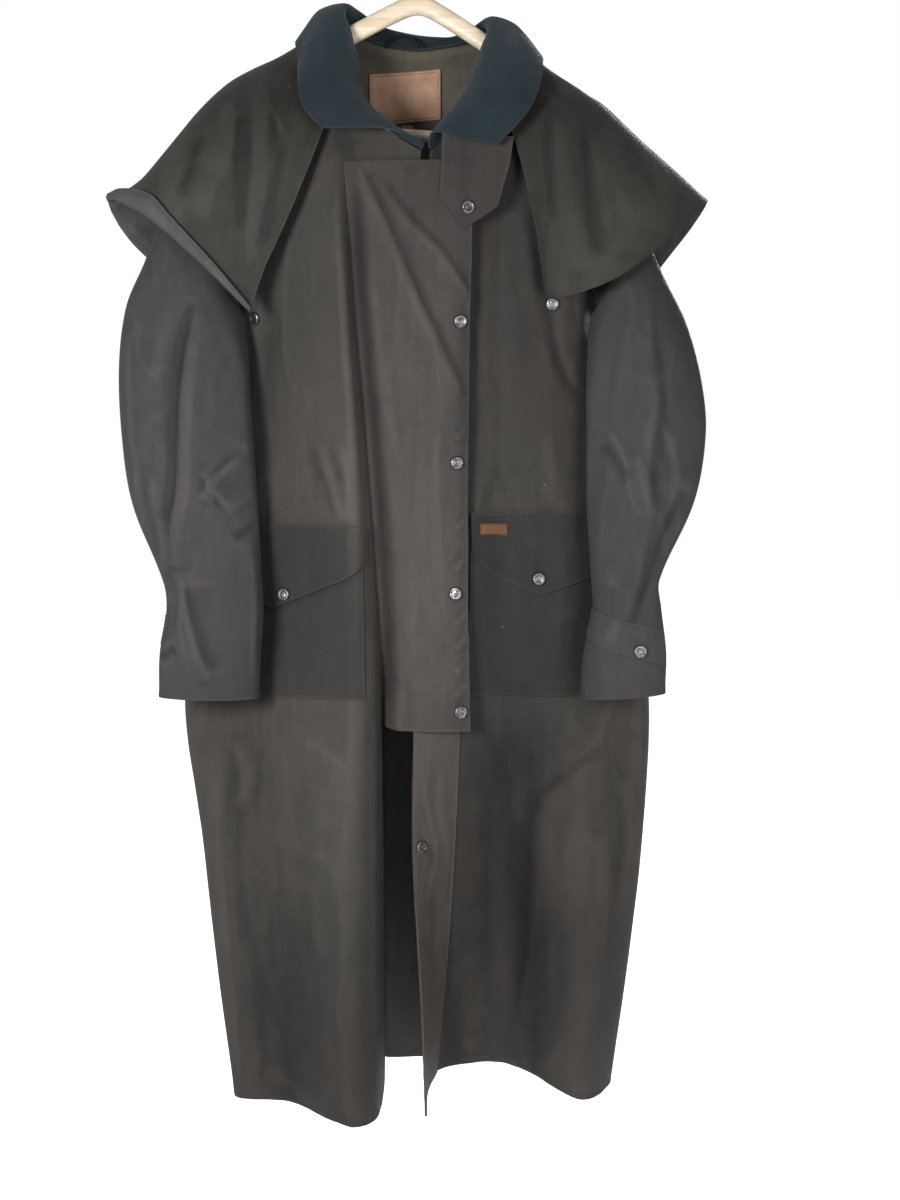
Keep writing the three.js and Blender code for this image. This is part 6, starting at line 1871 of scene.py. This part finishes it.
# An open snap shows its socket: a ring round a hollow, with a small stud in it.
SOCKET_PROFILE = (
    (0.0, 0.7), (0.16, 0.7), (0.24, 0.55), (0.26, 0.25), (0.48, 0.22), (0.52, 0.6), (0.6, 0.95),
    (0.7, 1.0), (0.8, 0.9), (0.88, 0.6), (0.98, 0.45), (1.0, 0.3), (0.96, 0.1), (0.84, 0.0), (0.0, 0.0),
)
SNAPS = (
    ("snap_flap_1", fine_flap, 49, -497, SNAP_LIFT), ("snap_flap_2", fine_flap, 45, -660, SNAP_LIFT),
    ("snap_flap_3", fine_flap, 44, -813, SNAP_LIFT), ("snap_flap_4", fine_flap, 50, -954, SNAP_LIFT),
    ("snap_fly", fine_strip, 2, -1118, SNAP_LIFT),
    ("snap_pocket_right", pocket_flaps["right"], -160, -816, SNAP_LIFT),
    ("snap_pocket_left", pocket_flaps["left"], 143, -798, SNAP_LIFT),
    ("snap_cuff_left", cuff_tabs["left"], 256, -876, SNAP_LIFT),
    ("snap_cuff_right", cuff_tabs["right"], -282, -855, SNAP_LIFT),
    ("snap_throat", fine_tab, 58, -368, SNAP_LIFT),
    ("snap_cape_left", fine_fronts["left"], 158, -474, PANEL_LIFT),
    ("snap_cape_right", fine_fronts["right"], -194, -489, PANEL_LIFT),
    ("snap_neck", fine_fronts["right"], -20, -322, PANEL_LIFT),
)


def snap_shape(profile, sides=32):
    turn = 2 * np.pi * np.arange(sides) / sides
    rings = [[(r * SNAP_RADIUS * math.cos(t), r * SNAP_RADIUS * math.sin(t), h * SNAP_TALL) for t in turn]
             for r, h in profile[1:-1]]
    points = [p for ring in rings for p in ring]
    faces = bar_faces(len(rings), sides)
    points += [(0, 0, profile[0][1] * SNAP_TALL), (0, 0, 0)]
    middle, foot = len(points) - 2, len(points) - 1
    faces = faces[:-2]
    last = (len(rings) - 1) * sides
    for k in range(sides):
        n = (k + 1) % sides
        faces += [(middle, n, k), (foot, last + k, last + n)]
    return np.array(points), [f[::-1] for f in faces]


def add_snap(name, cloth, x, z, lift):
    point, normal = cloth.at(*cloth.find(x, z))
    points, faces = snap_shape(SOCKET_PROFILE if name == "snap_throat" else CAP_PROFILE)
    turn = np.array(Vector(normal).to_track_quat("Z", "X").to_matrix())
    points = points @ turn.T + point + normal * (CLOTH / 2 + lift)
    round_piece(f"{name}_metal", name, points, faces, LOOKS["snap"], "snap_metal")


for snap in SNAPS:
    add_snap(*snap)


# Room and light
AMBIENT = 0.32
FLOOR_Z, FLOOR_REACH, FLOOR_GLOW = -1760, 9000, 0.9


def make_room():
    """A pale floor and a white room, which give the coat only a dim light of their own."""
    material, nodes, shader = new_material("pale floor")
    shader.inputs["Base Color"].default_value = (0.9, 0.9, 0.9, 1)
    shader.inputs["Roughness"].default_value = 0.9
    shader.inputs["Emission Color"].default_value = (1, 1, 1, 1)
    seen = nodes.add("LightPath").outputs["Is Camera Ray"]
    nodes.put(shader.inputs["Emission Strength"], nodes.sum("MULTIPLY", seen, FLOOR_GLOW))
    corners = [(x * FLOOR_REACH, y * FLOOR_REACH, FLOOR_Z) for x, y in ((-1, -1), (1, -1), (1, 1), (-1, 1))]
    floor = make_object("floor", corners, [(0, 1, 2, 3)], [material], smooth=False)
    world = bpy.data.worlds.new("room")
    world.use_nodes = True
    room = Nodes(world.node_tree)
    seen = room.add("LightPath").outputs["Is Camera Ray"]
    background = world.node_tree.nodes["Background"].inputs
    background["Color"].default_value = (1, 1, 1, 1)
    room.put(background["Strength"], room.band(seen, 0.0, 1.0, AMBIENT, 1.0))
    bpy.context.scene.world = world


def add_light(name, place, target, size, power):
    data = bpy.data.lights.new(name, "AREA")
    data.shape, data.size, data.energy = "DISK", size, power
    light = bpy.data.objects.new(name, data)
    light.location = place
    way = Vector(target) - Vector(place)
    light.visible_camera = False
    light.rotation_euler = way.to_track_quat("-Z", "Y").to_euler()
    bpy.context.scene.collection.objects.link(light)


bpy.context.scene.view_settings.view_transform = "Standard"
make_room()
add_light("key", (-0.75, -1.45, -0.5), (0, 0, -0.65), 0.5, 28)
add_light("back", (1.2, 2.6, 0.4), (0, 0, -0.7), 1.6, 60)
add_light("fill", (0.8, -1.4, -0.65), (0, 0, -0.7), 0.8, 12)
